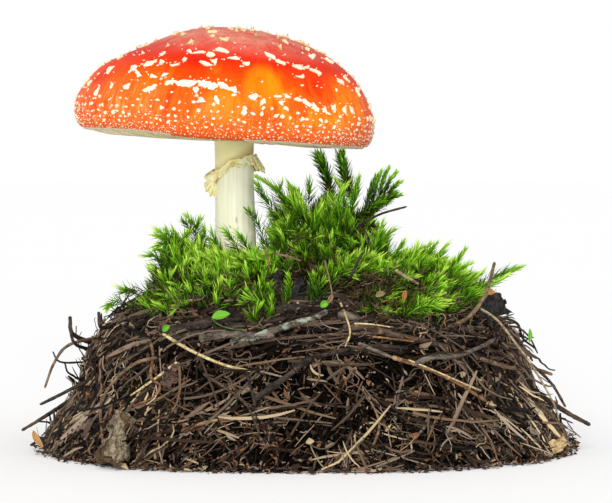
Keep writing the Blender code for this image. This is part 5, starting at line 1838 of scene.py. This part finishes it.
def build_flake(name, node, finish, corners, thickness, seat, out, turn, crust=0.35, plate=330):
    """A broken slab of bark or wood: an outline given thickness, bevelled edges and a rough face."""
    deselect()
    bpy.ops.mesh.primitive_circle_add(vertices=len(corners), radius=MM, fill_type="NGON")
    flake = bpy.context.object
    flat = np.array([(x * MM, y * MM, 0) for x, y in corners])
    move_points(flake, flat)
    bpy.ops.object.mode_set(mode="EDIT")
    bpy.ops.mesh.select_all(action="SELECT")
    extrude((0, 0, thickness * MM))
    bpy.ops.mesh.select_all(action="SELECT")
    bpy.ops.mesh.normals_make_consistent(inside=False)
    bpy.ops.mesh.bevel(offset=0.08 * thickness * MM, segments=1, affect="EDGES")
    bpy.ops.object.mode_set(mode="OBJECT")
    remesh = flake.modifiers.new("even", "REMESH")
    remesh.mode = "VOXEL"
    remesh.voxel_size = min(0.34, thickness * 0.3) * MM
    apply_modifiers(flake)
    points = points_of(flake)
    lump = crumpled(points, 340, 5, 0.7)
    cells = [noise.voronoi(Vector((x, y * 0.7, z)) * plate)[1][0] for x, y, z in points]
    plates = np.array([noise.cell(cell * 7.3) for cell in cells]) - 0.5
    grooves = np.array([noise.noise(Vector((p[0] * 1300, p[1] * 260, 3))) for p in points])
    away = np.array([vertex.normal for vertex in flake.data.vertices])
    points += away * ((lump * 0.5 + plates * 1.5 + grooves * 0.4) * crust * thickness * MM * 0.6)[:, None]
    move_points(flake, points)
    lay_down(flake, seat, out, turn)
    points = points_of(flake)
    points[:, 2] = np.maximum(points[:, 2], FLOOR_GAP)
    move_points(flake, points)
    finished(flake, name, *finish, [node] if node else (), 18)


def build_leaf(name, node, finish, length, width, seat, out, turn, cup):
    """A thin leaf: a grid drawn to a pointed oval, folded along its midrib and curled at its edge."""
    deselect()
    bpy.ops.mesh.primitive_grid_add(x_subdivisions=26, y_subdivisions=12, size=1)
    leaf = bpy.context.object
    points = points_of(leaf)
    along, side = points[:, 0], points[:, 1] * 2
    half = np.maximum(0.02, np.cos(along * math.pi) ** 0.75 * (1 - 0.35 * along))
    points[:, 0] = along * length * MM
    points[:, 1] = side * half * width / 2 * MM
    fold = cup * (np.abs(side) ** 1.4) * half + 0.35 * np.sin(along * 6 + side) * half
    points[:, 2] = (fold + 1.2 * cup * along**2 * 3) * MM
    move_points(leaf, points)
    thicken(leaf, 0.22 * MM)
    lay_down(leaf, seat, out, turn)
    finished(leaf, name, *finish, [node] if node else (), 60)


# The outlines of the bark flakes and the chip, in millimetres.
NOTCHED = (
    (0.6, 10.4), (3.9, 9.8), (6.4, 7.4), (5.9, 5.0), (4.2, 4.2), (4.4, -1.6), (6.3, -3.2), (5.6, -7.8),
    (2.4, -10.9), (-0.8, -9.6), (-5.6, -8.8), (-7.0, -5.0), (-4.8, -1.6), (-3.2, 1.0), (-2.6, 4.6),
)
LUMP = ((-2.6, -3.6), (0.4, -4.4), (2.9, -2.0), (2.2, 1.4), (3.2, 3.6), (0.8, 4.6), (-0.6, 2.6), (-2.8, 2.9))
BROAD = (
    (-6.5, -4.5), (-2, -5.2), (2.5, -4.4), (7.5, -3.0), (4.6, -0.6),
    (4.4, 1.6), (2.4, 4.6), (-1, 5.4), (-4, 2.4),
)
CHIP = ((-6, -2), (2, -3), (6, -1.5), (5.5, 2), (0, 3), (-5, 2))
NARROW = ((-1.6, -7), (0.6, -7.6), (1.9, -4), (1.4, 1), (2.0, 5), (0.2, 7.4), (-1.3, 6), (-2.0, 1))


def build_bark_and_leaves():
    """Bark flakes, a wood chip and the few leaves, each in its own place."""
    greys = (0.070, 0.052, 0.032), (0.300, 0.240, 0.160), (0.085, 0.052, 0.026)
    blacks = (0.006, 0.006, 0.006), (0.034, 0.030, 0.028), (0.07, 0.055, 0.04)
    reds = (0.040, 0.022, 0.015), (0.170, 0.105, 0.075), (0.24, 0.12, 0.07)
    woods = (0.30, 0.19, 0.08), (0.62, 0.46, 0.25), (0.34, 0.17, 0.06)
    grey = bark_finish("bark_flake", *greys, 0.14, 300, (1, 1, 0.7)), "bark"
    black = bark_finish("bark_dark", *blacks, -0.03, 420, (1, 1, 0.35)), "bark"
    wood = bark_finish("wood_chip", *woods, 0.02, 300), "straw"
    green = leaf_finish("green_blade", (0.11, 0.36, 0.006), (0.26, 0.56, 0.03)), "green_leaf"
    curl = leaf_finish("curled_blade", (0.62, 0.38, 0.15), (0.34, 0.17, 0.05)), "dead_leaf"
    dead = leaf_finish("dead_blade", (0.42, 0.19, 0.045), (0.22, 0.10, 0.03)), "dead_leaf"
    red = bark_finish("bark_red", *reds, 0.04, 520), "bark"
    tan = leaf_finish("tan_blade", (0.30, 0.22, 0.11), (0.18, 0.11, 0.05)), "dead_leaf"
    flake, leaf = build_flake, build_leaf
    # Each starts with its name, node and finish. A flake goes on with its outline, thickness, seat, the way
    # that it faces, turn, crust and plate size, and a leaf with its length, width, seat, facing, turn and cup.
    pieces = (
        (
            flake, "flake_left", "bark_flake_left", grey,
            NOTCHED, 5.0, (-70, -75, 10.8), (-0.3, -1, 0.3), 0, 0.3, 250,
        ),
        (flake, "bark_lump", None, red, LUMP, 2.6, (-49.5, -79.5, 34.5), (-0.1, -1, 0.3), 0, 0.5),
        (flake, "flake_right", "bark_flake_right", black, BROAD, 1.6, (72, -44, 58.5), (0.1, -1, 0.2), 0),
        (flake, "chip_right", "wood_chip", wood, CHIP, 1.5, (95, -44, 4.2), (0.35, -0.8, 0.5), 18),
        (leaf, "leaf_green", "green_leaf", green, 6.8, 3.0, (-31.6, -70, 56.4), (-0.05, -1, 0.55), 14, 1.0),
        (
            leaf, "leaf_dead_left", "dead_leaf_left", curl,
            8, 1.9, (-103.5, -36, 6.4), (-0.3, -0.9, 0.3), 128, 2.4,
        ),
        (flake, "hollow_bark_1", None, black, NARROW, 1.6, (-10.6, -47, 66), (0.1, -1, 0.25), 6),
        (flake, "hollow_bark_2", None, black, NARROW, 1.6, (-4.5, -43, 63), (0.1, -1, 0.25), -24),
        (flake, "hollow_bark_3", None, black, NARROW, 1.6, (3.5, -44, 62), (0.1, -1, 0.25), 18),
        (leaf, "leaf_red", None, dead, 4.2, 1.3, (37, -58, 63), (0, -1, 0.2), 80, 1.2),
        (leaf, "leaf_tan", None, tan, 3.8, 1.5, (28, -58, 63.5), (0, -1, 0.4), 20, 1.2),
        (leaf, "leaf_curled", None, tan, 3.8, 1.4, (9, -60, 62), (0.2, -1, 0.2), 60, 1.4),
        (leaf, "leaf_orange", None, dead, 3.6, 2.0, (70, -48, 63.6), (0, -1, 0.5), 6, 1.0),
        (leaf, "leaf_green_small", None, green, 3.6, 2.4, (7, -60, 60), (0, -1, 0.3), 30, 0.8),
        (leaf, "leaf_green_right", None, green, 5.2, 1.7, (86.6, -33, 46.2), (0.3, -1, 0.2), 84, 0.8),
        (leaf, "leaf_green_left", None, green, 3.2, 1.8, (-52, -70, 51.6), (0, -1, 0.3), 40, 0.8),
    )
    for build, *how in pieces:
        build(*how)


# ---------------------------------------------------------------- the stage


def build_stage(settings):
    """A pale floor, even light all round, a large soft lamp above and the camera at the front."""
    deselect()
    bpy.ops.mesh.primitive_circle_add(vertices=96, radius=settings.floor_radius, fill_type="NGON")
    floor = bpy.context.object
    floor.name = "stage_floor"
    paint = Finish("stage_paint", Roughness=0.95)
    tone = paint.noise(paint.place(), 2.0, 2, 0.5)
    pale = list(settings.floor_colour)
    paint.colour(paint.blend(tone, [0.985 * c for c in pale], pale))
    floor.data.materials.append(paint.material)

    scene = bpy.context.scene
    world = bpy.data.worlds.new("studio")
    scene.world = world
    world.use_nodes = True
    tree = world.node_tree
    sky = tree.nodes["Background"]
    sky.inputs["Color"].default_value = (1, 1, 1, 1)
    sky.inputs["Strength"].default_value = settings.sky_strength
    # What is seen behind the object is plain white, and the light from it is softer.
    seen = tree.nodes.new("ShaderNodeBackground")
    seen.inputs["Color"].default_value = (1, 1, 1, 1)
    seen.inputs["Strength"].default_value = 1.0
    choice = tree.nodes.new("ShaderNodeMixShader")
    ray = tree.nodes.new("ShaderNodeLightPath")
    tree.links.new(ray.outputs["Is Camera Ray"], choice.inputs[0])
    tree.links.new(sky.outputs[0], choice.inputs[1])
    tree.links.new(seen.outputs[0], choice.inputs[2])
    tree.links.new(choice.outputs[0], tree.nodes["World Output"].inputs["Surface"])
    lamps = (
        ("key_light", settings.key_power, settings.key_softness, (0.26, 1.0, -0.80)),
        ("fill_light", settings.fill_power, settings.fill_softness, (0.02, 1.0, -0.20)),
    )
    for name, power, softness, aim in lamps:
        bpy.ops.object.light_add(type="SUN", location=(-0.4, -0.7, 0.9))
        lamp = bpy.context.object
        lamp.name = name
        lamp.data.energy = power
        lamp.data.angle = softness
        lamp.rotation_euler = Vector(aim).to_track_quat("-Z", "Y").to_euler()
    scene.view_settings.view_transform = "Standard"
    place = (0, -settings.camera_distance, settings.camera_height)
    turn = (math.radians(90) - settings.camera_pitch, 0, 0)
    bpy.ops.object.camera_add(location=place, rotation=turn)
    camera = bpy.context.object
    camera.name = "camera_front"
    camera.data.lens = settings.camera_lens
    camera.data.sensor_width = 36
    camera.data.clip_start = 0.02
    camera.data.clip_end = 50
    scene.camera = camera


# ---------------------------------------------------------------- operators and panel


class Step:
    """One step of the build, with the settings that it reads, if any."""

    holder = None

    def execute(self, context):
        read = [getattr(context.scene, self.holder)] if self.holder else []
        self.build(*read)
        return {"FINISHED"}


class AGARIC_OT_stage(Step, bpy.types.Operator):
    """Add the floor, the lamps and the camera"""

    bl_idname = "agaric.stage"
    bl_label = "Stage"
    holder = "agaric_stage"
    build = staticmethod(build_stage)


class AGARIC_OT_cap(Step, bpy.types.Operator):
    """Turn the cap and hang its gills"""

    bl_idname = "agaric.cap"
    bl_label = "Cap and gills"
    holder = "agaric_mushroom"
    build = staticmethod(build_cap)


class AGARIC_OT_warts(Step, bpy.types.Operator):
    """Lay the warts and flecks of veil on the cap"""

    bl_idname = "agaric.warts"
    bl_label = "Warts"
    holder = "agaric_mushroom"
    build = staticmethod(build_warts)


class AGARIC_OT_stem(Step, bpy.types.Operator):
    """Turn the stem and add its shreds"""

    bl_idname = "agaric.stem"
    bl_label = "Stem"
    build = staticmethod(build_stem)


class AGARIC_OT_ring(Step, bpy.types.Operator):
    """Hang the torn ring on the stem"""

    bl_idname = "agaric.ring"
    bl_label = "Ring"
    build = staticmethod(build_ring)


class AGARIC_OT_twigs(Step, bpy.types.Operator):
    """Make the larger twigs, branches and straws"""

    bl_idname = "agaric.twigs"
    bl_label = "Twigs and straws"
    build = staticmethod(build_twigs)


class AGARIC_OT_flakes(Step, bpy.types.Operator):
    """Make the bark flakes, the wood chip and the leaves"""

    bl_idname = "agaric.flakes"
    bl_label = "Bark and leaves"
    build = staticmethod(build_bark_and_leaves)


class AGARIC_OT_moss(Step, bpy.types.Operator):
    """Grow the moss cushions and shoots"""

    bl_idname = "agaric.moss"
    bl_label = "Moss"
    holder = "agaric_moss"
    build = staticmethod(build_moss)


class AGARIC_OT_litter(Step, bpy.types.Operator):
    """Pile up the litter: its core, strands, chips and rootlets"""

    bl_idname = "agaric.litter"
    bl_label = "Litter"
    holder = "agaric_litter"
    build = staticmethod(build_litter)


class AGARIC_PT_panel(bpy.types.Panel):
    """The steps that build the clump, in order"""

    bl_idname = "AGARIC_PT_panel"
    bl_label = "Fly agaric"
    bl_space_type = "VIEW_3D"
    bl_region_type = "UI"
    bl_category = "Agaric"

    def draw(self, context):
        for operator in OPERATORS:
            self.layout.operator(operator.bl_idname)
        for holder in SETTINGS:
            settings = getattr(context.scene, holder)
            for key in settings.__annotations__:
                self.layout.prop(settings, key)


OPERATORS = (
    AGARIC_OT_stage,
    AGARIC_OT_cap,
    AGARIC_OT_warts,
    AGARIC_OT_stem,
    AGARIC_OT_ring,
    AGARIC_OT_twigs,
    AGARIC_OT_flakes,
    AGARIC_OT_moss,
    AGARIC_OT_litter,
)
SETTINGS = {
    "agaric_stage": StageSettings,
    "agaric_mushroom": MushroomSettings,
    "agaric_moss": MossSettings,
    "agaric_litter": LitterSettings,
}


def register():
    for kind in (*SETTINGS.values(), *OPERATORS, AGARIC_PT_panel):
        bpy.utils.register_class(kind)
    for holder, kind in SETTINGS.items():
        setattr(bpy.types.Scene, holder, PointerProperty(type=kind))


def unregister():
    for holder in SETTINGS:
        delattr(bpy.types.Scene, holder)
    for kind in reversed((*SETTINGS.values(), *OPERATORS, AGARIC_PT_panel)):
        bpy.utils.unregister_class(kind)


def main():
    """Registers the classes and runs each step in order."""
    register()
    for operator in OPERATORS:
        group, step = operator.bl_idname.split(".")
        getattr(getattr(bpy.ops, group), step)()


if __name__ == "__main__":
    main()
